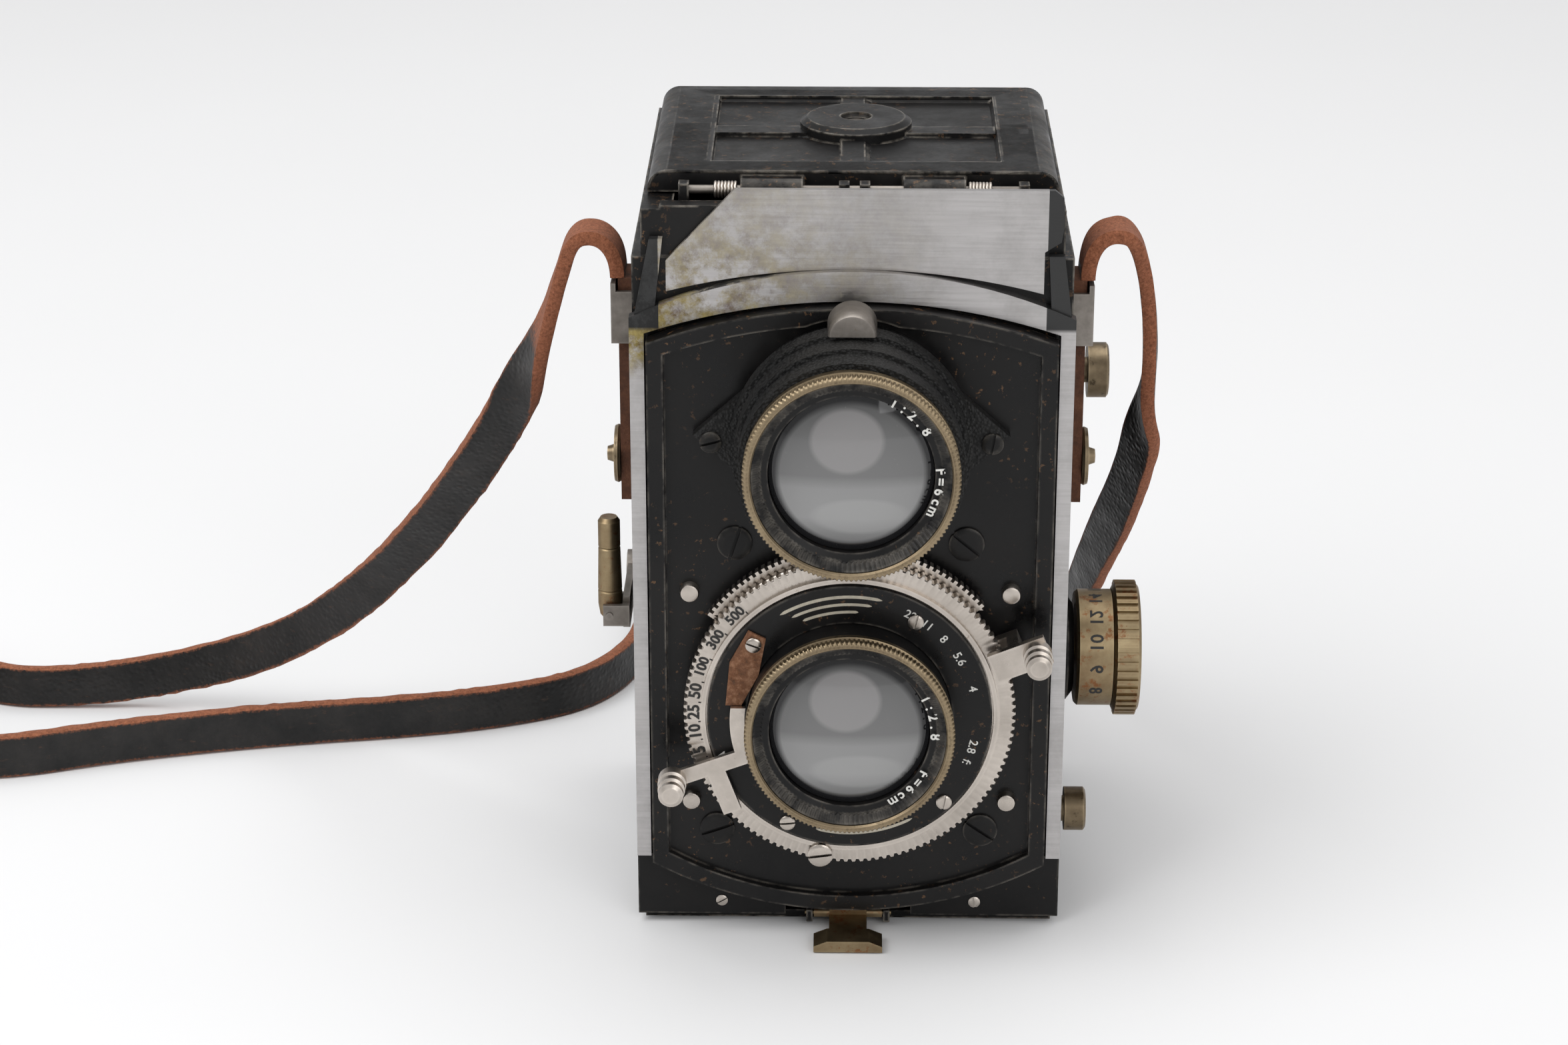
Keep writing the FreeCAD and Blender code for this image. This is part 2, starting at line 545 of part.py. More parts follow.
make_finder()
make_hood()
make_magnifier()


# ---------------------------------------------------------------- sides
def make_focus():
    """Focus knob and its scale drum on one shaft, behind a fixed black cone."""
    label(turned("x", [(29.95, 2.1), (29.95, 7.6), (31.2, 7.6), (32.1, 6.4), (32.1, 2.1)],
                 (0, "focus_y", "focus_z")), "focus_collar")
    label(turned("x", [(32.4, 2.05), (32.4, "drum_r-0.4"), (32.8, "drum_r"), (37.6, "drum_r"), (37.6, 2.05)],
                 (0, "focus_y", "focus_z")), "focus_drum")
    knob = turned("x", [(37.7, 0), (37.7, "focus_r-1.2"), (38.1, "focus_r-0.35"), (41.1, "focus_r-0.35"),
                        (41.5, "focus_r-0.8"), (41.5, 0)], (0, "focus_y", "focus_z"))
    spline = box((38.1, "focus_y+focus_r-0.9", "focus_z-0.35"), (41.1, "focus_y+focus_r", "focus_z+0.35"))
    ribs = around(spline, 44, (0, "focus_y", "focus_z"), (1, 0, 0))
    shaft = rod((22.5, "focus_y", "focus_z"), 2.02, 15.4, ALONG_X)
    doc.recompute()
    label(feature(knob.Shape.fuse(ribs + [shaft.Shape])), "focus_knob")


def make_crank():
    """Folding film crank on a shallow dome."""
    label(turned("x", [(-29.95, 2.2), (-29.95, 11.8), (-30.5, 11.8), (-31.3, 9), (-31.5, 2.2)],
                 (0, "crank_y", "crank_z")), "crank_dome")
    shaft = rod((-32.6, "crank_y", "crank_z"), 2.02, 11, ALONG_X)
    head = rod((-33, "crank_y", "crank_z"), 3.4, 1.2, ALONG_X)
    arm = box((-32.8, "crank_y-crank_throw-1.1", "crank_z-2.4"), (-31.8, "crank_y", "crank_z+2.4"))
    cheeks = [box((-35.6, f"crank_y-crank_throw {s}", "crank_z-1.6"),
                  (-31.8, f"crank_y-crank_throw {s} + 0.7", "crank_z+1.6")) for s in ("- 2.7", "+ 2")]
    pin = rod((-34.7, "crank_y-crank_throw-2.9", "crank_z"), 0.55, 5.8, ALONG_Y)
    wide = box((-32.8, "crank_y-crank_throw-2.7", "crank_z-1.6"),
               (-31.8, "crank_y-crank_throw+2.7", "crank_z+1.6"))
    label(join(shaft, head, arm, wide, *cheeks, pin), "crank_arm")
    barrel = turned("z", [(0, -1.1), (1.1, -1.1), (1.5, -0.6), (1.75, 1), (1.75, 3), (1.6, 3.2), (1.75, 3.4),
                          (1.6, 9.6), (1.45, 9.8), (1.6, 10), (1.6, 13.8), (1.2, 14.4), (0, 14.4)],
                    (-34.7, "crank_y-crank_throw", "crank_z"))
    hole = rod((-34.7, "crank_y-crank_throw-4", "crank_z"), 0.62, 8, ALONG_Y)
    label(cut(barrel, hole), "crank_handle")


def make_spools():
    """Two metal film spools, the take-up one behind the mirror and the feed one in the foot."""
    for name, y, z in (("takeup_spool", "spool_y", "spool_z"), ("feed_spool", "feed_y", "feed_z")):
        bobbin = turned("x", [(-25.2, 1.95), (-25.2, "flange_r"), (-24.5, "flange_r"), (-24.5, 3.2),
                              (24.5, 3.2), (24.5, "flange_r"), (25.2, "flange_r"), (25.2, 1.95)], (0, y, z))
        label(bobbin, name)
        side = "upper" if name == "takeup_spool" else "lower"
        reach = 38 if side == "upper" else 34.6
        grip = 4.1 if side == "upper" else 3.2
        inner = round(reach - 3.1, 1)
        knob = turned("x", [(22.6, 0), (22.6, 1.9), (inner, 1.9), (inner, grip), (reach - 0.3, grip),
                            (reach, grip - 0.4), (reach, 0)], (0, y, z))
        label(knob, f"spool_knob_{side}")
    ends = (("spool_y", "spool_z"), ("feed_y", "feed_z"))
    pivots = [rod((-27.5, y, z), 1.88, 4.6, ALONG_X) for y, z in ends]
    for name, z in (("film_roller_lower", 14.3), ("film_roller_upper", 59)):
        label(turned("x", [(-22.8, 0.5), (-22.8, 1.6), (22.8, 1.6), (22.8, 0.5)], (0, "film_y", z)), name)
    pivots += [rod((-24.4, "film_y", z), 0.45, 48.8, ALONG_X) for z in (14.3, 59)]
    label(group(*pivots), "film_pivots")


# ---------------------------------------------------------------- back
def make_back():
    """L-shaped back: a wall hinged at the top and a floor latched at the front foot."""
    wall = box((-29.3, "body_back+0.3", 0), (29.3, "body_back+0.3+back_thick", 81.6))
    bottom = box((-29.3, 2.9, 0), (29.3, "body_back+0.3", "base_skin"))
    knuckles = [rod((x, "back_hinge_y", "back_hinge_z"), 1.5, 11.4, ALONG_X) for x in (-17.2, 5.8)]
    straps = [box((x, "body_back+0.3", 80), (x + 11.4, "back_hinge_y", "back_hinge_z")) for x in (-17.2, 5.8)]
    hinge_hole = rod((-20, "back_hinge_y", "back_hinge_z"), 0.78, 40, ALONG_X)
    opening = [rod((0, 28, -1), 6.7, 4), rod((0, 24.4, -1), 6.7, 4), box((-6.7, 24.4, -1), (6.7, 28, 3))]
    ears = [box((x, -0.2, 0.9), (x + 0.9, 3.2, 2.7)) for x in (-6, 5.1)]
    feet = [box((x, 0.9, 0.3), (x + 0.9, 4, "base_skin")) for x in (-6, 5.1)]
    latch_hole = rod((-9, 0.9, 1.9), 0.4, 18, ALONG_X)
    label(cut(join(wall, *knuckles, *straps), hinge_hole), "back_wall")
    label(cut(join(bottom, *ears, *feet), latch_hole, *opening), "back_floor")
    plate = box((-21.4, 52.1, 16.8), (21.4, 53.1, 56.4))
    springs = [box((-3, 53, z), (3, "body_back+0.3", z + 8)) for z in (22, 44)]
    label(join(plate, *springs), "pressure_plate")
    label(box((-28.6, "body_back+0.3+back_thick", 2), (28.6, "body_back+0.7+back_thick", 79)), "back_leather")
    tongue = box((-2.7, 0.1, 1), (2.7, 0.8, 3.4))
    web = box((-2.7, -4.6, 1.2), (2.7, 0.9, 1.9))
    barrel = rod((-4.9, 0.9, 1.9), 0.75, 9.8, ALONG_X)
    lip = padded([(-4.9, 0.2), (4.9, 0.2), (4.9, 1.1), (3, 1.9), (-3, 1.9), (-4.9, 1.1)], 4, (0, -4.2, 0))
    latch_pin = rod((-6.2, 0.9, 1.9), 0.35, 12.4, ALONG_X)
    label(join(tongue, web, barrel, lip, latch_pin), "latch_tab")
    bush = rod((0, 28, 0), 6.2, 9)
    thread_room = rod((0, 28, -1), "socket_r", "socket_deep+1")
    relief = rod((0, 28, "socket_deep"), "socket_r+0.5", 1.1)
    label(cut(bush, thread_room, relief), "tripod_bush")


def make_leather():
    """Thin leather panels on both sides."""
    panels = []
    for x in ("-half_wide", "body_half+0.02"):
        panel = box((x, 3.6, 2), (f"{x}+0.33", 52.6, 56))
        round_holes = [rod(("-32", "crank_y", "crank_z"), 12.2, 4, ALONG_X),
                       rod((29, "focus_y", "focus_z"), 8, 4, ALONG_X),
                       rod((29, "feed_y", "feed_z"), 2.4, 4, ALONG_X)]
        panels.append(cut(panel, *round_holes))
    label(group(*panels), "side_leather")


# ---------------------------------------------------------------- neck strap
def make_strap_fittings():
    """Clip, leather end and stud on each side."""
    clips, ends, studs = [], [], []
    for s in (-1, 1):
        def side_box(x_low, x_high, y_low, y_high, z_low, z_high):
            low, high = sorted((s * x_low, s * x_high))
            return box((low, f"lug_y {y_low:+}", z_low), (high, f"lug_y {y_high:+}", z_high))
        clip = join(side_box(33, 33.7, -4.3, 4.3, 83.4, 92.2),
                    side_box(29.9, 33.7, -4.3, -3.6, 83.4, 91),
                    side_box(29.9, 33.7, 3.6, 4.3, 83.4, 91),
                    side_box(29.9, 30.3, -4.3, 4.3, 83.4, 91))
        clips.append(clip)
        ends.append(side_box(30.5, 32.7, -3.4, 3.4, 59.6, 92.7))
        disc = turned("x", [(32.8 * s, 0), (32.8 * s, 4), (33.2 * s, 4.2), (33.7 * s, 4), (33.9 * s, 1.3),
                            (34.8 * s, 1), (34.9 * s, 0)], (0, "lug_y", 65.4))
        studs.append(disc)
    label(group(*clips), "strap_clips")
    label(group(*ends), "strap_ends")
    label(group(*studs), "strap_studs")


# The free strap lies on what the camera stands on.  Its route is a list of corners, y back
# from the front of the frame: out of the left clip, round the put-away coil, and back behind
# the camera to the right clip.
LEFT_RUN = [(-32.8, 20, 92.7), (-32.9, 20, 95.6), (-35.2, 20.2, 98.4), (-38.9, 20.7, 98), (-41, 22.6, 91.5),
            (-44.6, 27, 79.5), (-50.6, 34, 65.5), (-59, 42, 51), (-68.6, 50.5, 37), (-80, 60, 23.5),
            (-94, 69, 12.5), (-110, 74.5, 6), (-126, 74, 3.6), (-141, 72, 3.6), (-154, 75.5, 3.6),
            (-166, 81.5, 3.6)]
RIGHT_RUN = [(32.8, 20, 92.7), (32.9, 20, 95.8), (35, 20.4, 98.8), (39, 21.6, 98.4), (41.6, 25, 91),
             (43.2, 30, 78), (43.2, 36.5, 63), (41.6, 47, 49.3), (39, 58.5, 36.2), (37, 71, 23.4),
             (35.8, 84.5, 12.2), (34.9, 99, 5.5), (34.6, 115, 3.6), (31.5, 129, 3.6), (18, 136, 3.6),
             (2, 137.5, 3.6), (-14, 136.5, 3.6), (-29, 131, 3.6), (-35.4, 118, 3.6), (-34.6, 102, 3.6),
             (-35.8, 87, 3.6), (-43, 74, 3.6), (-57, 67, 3.6), (-73, 63, 3.6), (-88, 60.5, 3.6),
             (-103, 57, 3.6), (-118, 52.6, 3.6), (-132, 47, 3.6), (-147, 45, 3.6)]
COIL_CENTRE = (-184, 58, 0)


def strap_tube(name, corners):
    """A round tube with the strap's own area, along straight runs joined by tangent arcs."""
    points = [vec(*corner) for corner in corners]
    edges, start, radii = [], points[0], []
    for before, corner, after in zip(points, points[1:], points[2:]):
        into, out = (corner - before), (after - corner)
        shorter = min(into.Length, out.Length)
        half = into.getAngle(out) / 2
        trim = 0.45 * shorter
        radii.append(trim / math.tan(half))
        into.normalize()
        out.normalize()
        first, last = corner - into * trim, corner + out * trim
        towards = (out - into).normalize()
        middle = corner + towards * (radii[-1] / math.cos(half) - radii[-1])
        edges.append(Part.LineSegment(start, first).toShape())
        edges.append(Part.Arc(first, middle, last).toShape())
        start = last
    edges.append(Part.LineSegment(start, points[-1]).toShape())
    spine = Part.Wire(edges)
    section = Part.Wire(Part.makeCircle(size("strap_bore"), points[0], points[1] - points[0]))
    tube = spine.makePipeShell([section], True, False)
    length = sum(edge.Length for edge in edges)
    expected = math.pi * size("strap_bore") ** 2 * length
    print(f"{name}: {length:.1f} mm, volume {tube.Volume:.0f} of {expected:.0f},",
          "radii " + " ".join(f"{r:.1f}" for r in radii))
    label(feature(tube), name)


def make_strap():
    """Two runs of strap and the round coil of the length that is put away."""
    strap_tube("strap_run_left", LEFT_RUN)
    strap_tube("strap_run_right", RIGHT_RUN)
    label(rod(COIL_CENTRE, "coil_r", "coil_high"), "strap_coil")


make_focus()
make_crank()
make_spools()
make_back()
make_leather()
make_strap_fittings()
make_strap()

# ---------------------------------------------------------------- check and write
doc.recompute()
for thing in doc.Objects:
    if {"Invalid", "Error"} & set(thing.State):
        raise RuntimeError(f"{thing.Name} did not compute: {thing.State}")
for part in SUB_PARTS:
    if part.Shape.isNull() or not part.Shape.isValid() or not part.Shape.Solids:
        raise RuntimeError(f"{part.Label} has no valid solid")
for part in SUB_PARTS:
    part.Shape.exportStep(f"parts/{part.Label}.step")
print(len(SUB_PARTS), "sub-parts written")
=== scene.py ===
import math

import bmesh
import bpy
from mathutils import Matrix, Quaternion, Vector, noise


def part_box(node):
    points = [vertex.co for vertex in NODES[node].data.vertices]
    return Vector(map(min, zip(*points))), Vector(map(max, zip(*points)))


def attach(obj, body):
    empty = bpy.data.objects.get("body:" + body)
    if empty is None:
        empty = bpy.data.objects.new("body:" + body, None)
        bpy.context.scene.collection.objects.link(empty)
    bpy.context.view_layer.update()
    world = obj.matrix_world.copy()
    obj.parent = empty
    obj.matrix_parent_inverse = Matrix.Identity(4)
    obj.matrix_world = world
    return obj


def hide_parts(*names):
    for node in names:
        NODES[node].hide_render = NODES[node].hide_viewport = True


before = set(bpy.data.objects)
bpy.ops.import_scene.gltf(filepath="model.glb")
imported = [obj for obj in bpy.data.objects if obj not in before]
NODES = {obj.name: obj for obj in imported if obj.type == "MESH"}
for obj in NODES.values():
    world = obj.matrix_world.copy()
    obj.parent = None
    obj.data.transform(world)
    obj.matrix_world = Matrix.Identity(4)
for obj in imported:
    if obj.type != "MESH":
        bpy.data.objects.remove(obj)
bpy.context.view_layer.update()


def at(x, y, z):
    """A point in metres from millimetres, with y measured back from the front of the frame."""
    return Vector((x, y - 28, z)) * 0.001


# ---------------------------------------------------------------- camera
lens = bpy.data.cameras.new("camera")
lens.lens = 82.23
lens.sensor_width = 36
lens.clip_start = 0.05
camera = bpy.data.objects.new("camera", lens)
bpy.context.scene.collection.objects.link(camera)
camera.location = (-0.00105, -0.4874, 0.2458)
camera.rotation_euler = (math.radians(90 - 21.717), 0, math.radians(1.019))
bpy.context.scene.camera = camera


# ---------------------------------------------------------------- neck strap
STRAP_WIDE = 7.0
STRAP_THICK = 2.0
RIGHT_RUN = [(32.8, 20, 92.7), (32.9, 20, 95.8), (35, 20.4, 98.8), (39, 21.6, 98.4), (41.6, 25, 91),
             (43.2, 30, 78), (43.2, 36.5, 63), (41.6, 47, 49.3), (39, 58.5, 36.2), (37, 71, 23.4),
             (35.8, 84.5, 12.2), (34.9, 99, 5.5), (34.6, 115, 3.6), (31.5, 129, 3.6), (18, 136, 3.6),
             (2, 137.5, 3.6), (-14, 136.5, 3.6), (-29, 131, 3.6), (-35.4, 118, 3.6), (-34.6, 102, 3.6),
             (-35.8, 87, 3.6), (-43, 74, 3.6), (-57, 67, 3.6), (-73, 63, 3.6), (-88, 60.5, 3.6),
             (-103, 57, 3.6), (-118, 52.6, 3.6), (-132, 47, 3.6), (-144.5, 47, 3.6)]
LEFT_RUN = [(-141, 74, 3.6), (-126, 74, 3.6), (-110, 74.5, 6), (-94, 69, 12.5), (-80, 60, 23.5),
            (-68.6, 50.5, 37), (-59, 42, 51), (-50.6, 34, 65.5), (-44.6, 27, 79.5), (-41, 22.6, 91.5),
            (-38.9, 20.7, 98), (-35.2, 20.2, 98.4), (-32.9, 20, 95.6), (-32.8, 20, 92.7)]
COIL_X, COIL_Y = -184, 58


def coil_points():
    """The put-away strap: both strands wound side by side, joined by an S across the middle."""
    points = []
    for degrees in range(25, 323, 21):
        reach = 37.6 - 6.6 * (degrees - 50) / 360
        points.append((degrees, reach))
    spots = [(COIL_X + r * math.cos(math.radians(a)), COIL_Y + r * math.sin(math.radians(a)), 3.6)
             for a, r in points]
    inner, last = points[-1][1], points[-1][0]
    half = inner / 2
    turn = math.radians(last)
    for middle, start, sign in ((turn, 0, 1), (turn + math.pi, math.pi, -1)):
        steps = (40, 75, 110, 145) if sign > 0 else (35, 70, 105, 140)
        for step in steps:
            swing = middle + start + sign * math.radians(step)
            centre = Vector((math.cos(middle), math.sin(middle))) * half
            spot = centre + Vector((math.cos(swing), math.sin(swing))) * half
            spots.append((COIL_X + spot.x, COIL_Y + spot.y, 3.6))
    for degrees in range(last + 180, 55, -21):
        reach = 40.9 - 6.6 * (degrees - 50) / 360
        angle = math.radians(degrees)
        spots.append((COIL_X + reach * math.cos(angle), COIL_Y + reach * math.sin(angle), 3.6))
    return spots


def strap_route():
    """The strap's centre line as one smooth spline, read back as points."""
    corners = RIGHT_RUN + coil_points() + LEFT_RUN
    curve = bpy.data.curves.new("strap_route", "CURVE")
    curve.dimensions = "3D"
    curve.resolution_u = 12
    spline = curve.splines.new("NURBS")
    spline.points.add(len(corners) - 1)
    for point, corner in zip(spline.points, corners):
        point.co = (*at(*corner), 1)
    spline.order_u = 3
    spline.use_endpoint_u = True
    holder = bpy.data.objects.new("strap_route", curve)
    bpy.context.scene.collection.objects.link(holder)
    bpy.context.view_layer.update()
    mesh = bpy.data.meshes.new_from_object(holder)
    points = [v.co.copy() for v in mesh.vertices]
    bpy.data.objects.remove(holder)
    return points


# ---------------------------------------------------------------- materials
class Shade:
    """A Principled material and the small node chains that feed it."""

    def __init__(self, name, **values):
        self.material = bpy.data.materials.new(name)
        self.material.use_nodes = True
        self.tree = self.material.node_tree
        self.bsdf = self.tree.nodes["Principled BSDF"]
        for key, value in values.items():
            self.bsdf.inputs[key.replace("_", " ")].default_value = value
        self.where = self.tree.nodes.new("ShaderNodeTexCoord").outputs["Object"]

    def link(self, source, target):
        self.tree.links.new(source, target)
        return source

    def stretch(self, scale, turn=(0, 0, 0)):
        node = self.tree.nodes.new("ShaderNodeMapping")
        node.inputs["Scale"].default_value = scale
        node.inputs["Rotation"].default_value = turn
        self.link(self.where, node.inputs["Vector"])
        return node.outputs["Vector"]

    def noise(self, scale, detail=5, rough=0.6, where=None, distortion=0):
        node = self.tree.nodes.new("ShaderNodeTexNoise")
        node.inputs["Scale"].default_value = scale
        node.inputs["Detail"].default_value = detail
        node.inputs["Roughness"].default_value = rough
        node.inputs["Distortion"].default_value = distortion
        self.link(where or self.where, node.inputs["Vector"])
        return node.outputs["Fac"]

    def cells(self, scale, feature="F1", where=None):
        node = self.tree.nodes.new("ShaderNodeTexVoronoi")
        node.feature = feature
        node.inputs["Scale"].default_value = scale
        self.link(where or self.where, node.inputs["Vector"])
        return node.outputs["Distance"]

    def ramp(self, value, *stops):
        """A curve from value to colours or greys, given as (position, colour) pairs."""
        node = self.tree.nodes.new("ShaderNodeValToRGB")
        elements = node.color_ramp.elements
        while len(elements) < len(stops):
            elements.new(0.5)
        for element, (position, colour) in zip(elements, stops):
            element.position = position
            element.color = (colour,) * 3 + (1,) if isinstance(colour, (int, float)) else (*colour, 1)
        self.link(value, node.inputs["Fac"])
        return node.outputs["Color"]

    def mix(self, amount, first, second, blend="MIX"):
        node = self.tree.nodes.new("ShaderNodeMix")
        node.data_type = "RGBA"
        node.blend_type = blend
        for value, socket in ((amount, node.inputs[0]), (first, node.inputs[6]), (second, node.inputs[7])):
            if isinstance(value, bpy.types.NodeSocket):
                self.link(value, socket)
            else:
                socket.default_value = value if isinstance(value, (int, float)) else (*value, 1)
        return node.outputs[2]

    def axis(self, name, low, high):
        """0 to 1 as a coordinate goes from low to high, in metres."""
        split = self.tree.nodes.new("ShaderNodeSeparateXYZ")
        self.link(self.where, split.inputs[0])
        span = self.tree.nodes.new("ShaderNodeMapRange")
        span.inputs["From Min"].default_value = low
        span.inputs["From Max"].default_value = high
        self.link(split.outputs[name], span.inputs["Value"])
        return span.outputs["Result"]

    def wide_of(self, half):
        """1 where the point is further than half from the middle plane."""
        split = self.tree.nodes.new("ShaderNodeSeparateXYZ")
        self.link(self.where, split.inputs[0])
        return self.times(self.times(split.outputs["X"], 0.0, "ABSOLUTE"), half, "GREATER_THAN")

    def times(self, a, b, operation="MULTIPLY"):
        node = self.tree.nodes.new("ShaderNodeMath")
        node.operation = operation
        for value, socket in ((a, node.inputs[0]), (b, node.inputs[1])):
            if isinstance(value, bpy.types.NodeSocket):
                self.link(value, socket)
            else:
                socket.default_value = value
        return node.outputs[0]

    def edge_wear(self, radius=0.0006, low=0.02, high=0.12):
        """Where a corner is sharp, from the difference between the true and the rounded normal."""
        rounded = self.tree.nodes.new("ShaderNodeBevel")
        rounded.samples = 4
        rounded.inputs["Radius"].default_value = radius
        real = self.tree.nodes.new("ShaderNodeNewGeometry")
        gap = self.tree.nodes.new("ShaderNodeVectorMath")
        gap.operation = "DISTANCE"
        self.link(rounded.outputs["Normal"], gap.inputs[0])
        self.link(real.outputs["Normal"], gap.inputs[1])
        return self.ramp(gap.outputs["Value"], (low, 0.0), (high, 1.0))

    def bump(self, height, strength=0.3, distance=0.0002):
        node = self.tree.nodes.new("ShaderNodeBump")
        node.inputs["Strength"].default_value = strength
        node.inputs["Distance"].default_value = distance
        self.link(height, node.inputs["Height"])
        self.link(node.outputs["Normal"], self.bsdf.inputs["Normal"])

    def colour(self, source):
        self.link(source, self.bsdf.inputs["Base Color"])

    def rough(self, source):
        self.link(source, self.bsdf.inputs["Roughness"])

    def metal(self, source):
        self.link(source, self.bsdf.inputs["Metallic"])


def black_enamel(name="black_enamel", shine=0.3, chips=0.62, wear=0.35):
    """Old stoving enamel: glossy black, dust-dulled, with rust specks and rubbed edges."""
    s = Shade(name, Roughness=shine, Specular_IOR_Level=0.2, Coat_Weight=0.06, Coat_Roughness=0.12)
    dust = s.ramp(s.noise(70, 6, 0.7), (0.35, (0.003, 0.003, 0.0033)), (0.75, (0.011, 0.010, 0.0095)))
    specks = s.ramp(s.noise(900, 3, 0.7), (chips, 0.0), (chips + 0.05, 1.0))
    patch = s.ramp(s.noise(60, 3, 0.6), (0.42, 0.0), (0.62, 1.0))
    rust = s.mix(s.times(specks, patch), dust, (0.10, 0.055, 0.028))
    scratches = s.ramp(s.noise(160, 8, 0.8, s.stretch((0.6, 1, 9), (0, 0.6, 0))), (0.68, 0.0), (0.74, 0.22))
    worn = s.times(s.edge_wear(0.0004), s.ramp(s.noise(350, 4), (0.40, 0.0), (0.62, wear)))
    base = s.mix(scratches, rust, (0.06, 0.057, 0.054))
    s.colour(s.mix(worn, base, (0.30, 0.27, 0.23)))
    s.rough(s.ramp(s.noise(140, 6, 0.7), (0.3, shine - 0.1), (0.75, shine + 0.25)))
    s.bump(s.mix(0.5, s.noise(500, 4, 0.6), specks), 0.10, 0.0002)
    return s.material


def bare_metal(name, light, dark, rough, grain=(1, 1, 1), stain=(0.20, 0.14, 0.09), stained=0.66, edge=0.3):
    """Bare or plated metal with fine brush marks, tarnish clouds and darker pits."""
    s = Shade(name, Metallic=1.0, Roughness=rough)
    cloud = s.ramp(s.noise(90, 6, 0.65), (0.32, dark), (0.66, light))
    brush = s.noise(900, 4, 0.6, s.stretch(grain))
    lines = s.mix(s.ramp(brush, (0.35, 0.0), (0.7, 0.28)), cloud, dark)
    pits = s.ramp(s.noise(480, 5, 0.75), (stained, 0.0), (stained + 0.08, 1.0))
    dirty = s.mix(s.times(pits, 0.8), lines, stain)
    s.colour(s.mix(s.times(s.edge_wear(0.0004), edge), dirty, tuple(min(1, c * 1.25) for c in light)))
    s.rough(s.ramp(s.noise(150, 6, 0.7), (0.3, rough - 0.08), (0.75, rough + 0.2)))
    s.bump(s.mix(0.5, brush, s.noise(480, 5, 0.75)), 0.12, 0.0001)
    return s.material


def aluminium_plate():
    """Brushed aluminium name plate and border, corroded yellow-green and brown at its left end."""
    s = Shade("aluminium_plate", Metallic=1.0, Roughness=0.36)
    brush = s.noise(700, 5, 0.6, s.stretch((0.12, 1, 3.5)))
    silver = s.ramp(brush, (0.3, (0.42, 0.405, 0.40)), (0.7, (0.50, 0.485, 0.48)))
    grime = s.ramp(s.noise(130, 7, 0.75), (0.45, 0.0), (0.75, 0.65))
    dulled = s.mix(s.times(grime, 0.6), silver, (0.20, 0.19, 0.18))
    near_foot = s.ramp(s.axis("Z", 0.0820, 0.1080), (0.05, 0.0), (0.20, 1.0), (0.50, 0.9), (0.95, 0.35))
    left = s.ramp(s.axis("X", 0.014, -0.026), (0.0, 0.0), (0.55, 0.55), (0.85, 1.0))
    rot = s.times(s.ramp(s.noise(230, 8, 0.8), (0.40, 0.0), (0.56, 1.0)), s.times(near_foot, left))
    yellow = s.ramp(s.noise(420, 4, 0.7), (0.36, (0.09, 0.045, 0.018)), (0.50, (0.20, 0.15, 0.04)),
                    (0.66, (0.33, 0.26, 0.08)))
    plated = s.mix(rot, dulled, yellow)
    shoulder = s.times(s.axis("Z", 0.0905, 0.0911), s.wide_of(0.0262))
    s.colour(s.mix(shoulder, plated, (0.012, 0.012, 0.012)))
    s.metal(s.mix(shoulder, s.ramp(rot, (0.2, 1.0), (0.8, 0.15)), (0.0, 0.0, 0.0)))
    s.rough(s.ramp(rot, (0.1, 0.36), (0.9, 0.85)))
    s.bump(s.mix(rot, brush, s.noise(800, 5, 0.8)), 0.15, 0.0002)
    return s.material


def crackle(name, deep=0.5, scale=900, light=0.03):
    """Black crackle paint or grained leatherette: packed small cells with worn tops."""
    s = Shade(name, Roughness=0.5, Specular_IOR_Level=0.25)
    cells = s.cells(scale, "F1", None)
    tops = s.ramp(cells, (0.15, (light,) * 3), (0.75, (0.002, 0.002, 0.002)))
    dust = s.ramp(s.noise(120, 6, 0.7), (0.40, 0.0), (0.75, 0.45))
    s.colour(s.mix(dust, tops, (0.030, 0.028, 0.026)))
    s.rough(s.ramp(s.noise(200, 5, 0.7), (0.3, 0.38), (0.75, 0.68)))
    s.bump(s.ramp(cells, (0.1, 1.0), (0.7, 0.0)), deep, 0.0004)
    return s.material


def strap_leather():
    """Black grained faces; the cut edges, marked in the mesh, are fuzzy red-brown suede."""
    s = Shade("strap_leather", Roughness=0.5, Specular_IOR_Level=0.3, Sheen_Weight=0.05)
    mark = s.tree.nodes.new("ShaderNodeVertexColor")
    mark.layer_name = "suede"
    ragged = s.times(mark.outputs["Color"], s.ramp(s.noise(1500, 4, 0.7), (0.25, 0.55), (0.6, 1.25)))
    suede_here = s.ramp(ragged, (0.30, 0.0), (0.55, 1.0))
    grain = s.cells(1100)
    black = s.ramp(s.noise(130, 7, 0.7), (0.35, (0.006, 0.006, 0.006)), (0.62, (0.018, 0.016, 0.015)),
                   (0.80, (0.045, 0.030, 0.022)))
    scuffs = s.ramp(s.noise(420, 6, 0.75, s.stretch((1, 1, 3))), (0.60, 0.0), (0.72, 0.5))
    face = s.mix(scuffs, black, (0.11, 0.055, 0.032))
    suede = s.ramp(s.noise(2200, 5, 0.8), (0.32, (0.14, 0.045, 0.020)), (0.68, (0.42, 0.155, 0.078)))
    s.colour(s.mix(suede_here, face, suede))
    s.rough(s.mix(suede_here, s.ramp(s.noise(180, 5), (0.3, 0.36), (0.7, 0.62)), (0.95, 0.95, 0.95)))
    height = s.mix(suede_here, s.ramp(grain, (0.1, 0.7), (0.6, 0.4)), s.noise(2600, 5, 0.8))
    s.bump(height, 0.55, 0.0005)
    return s.material


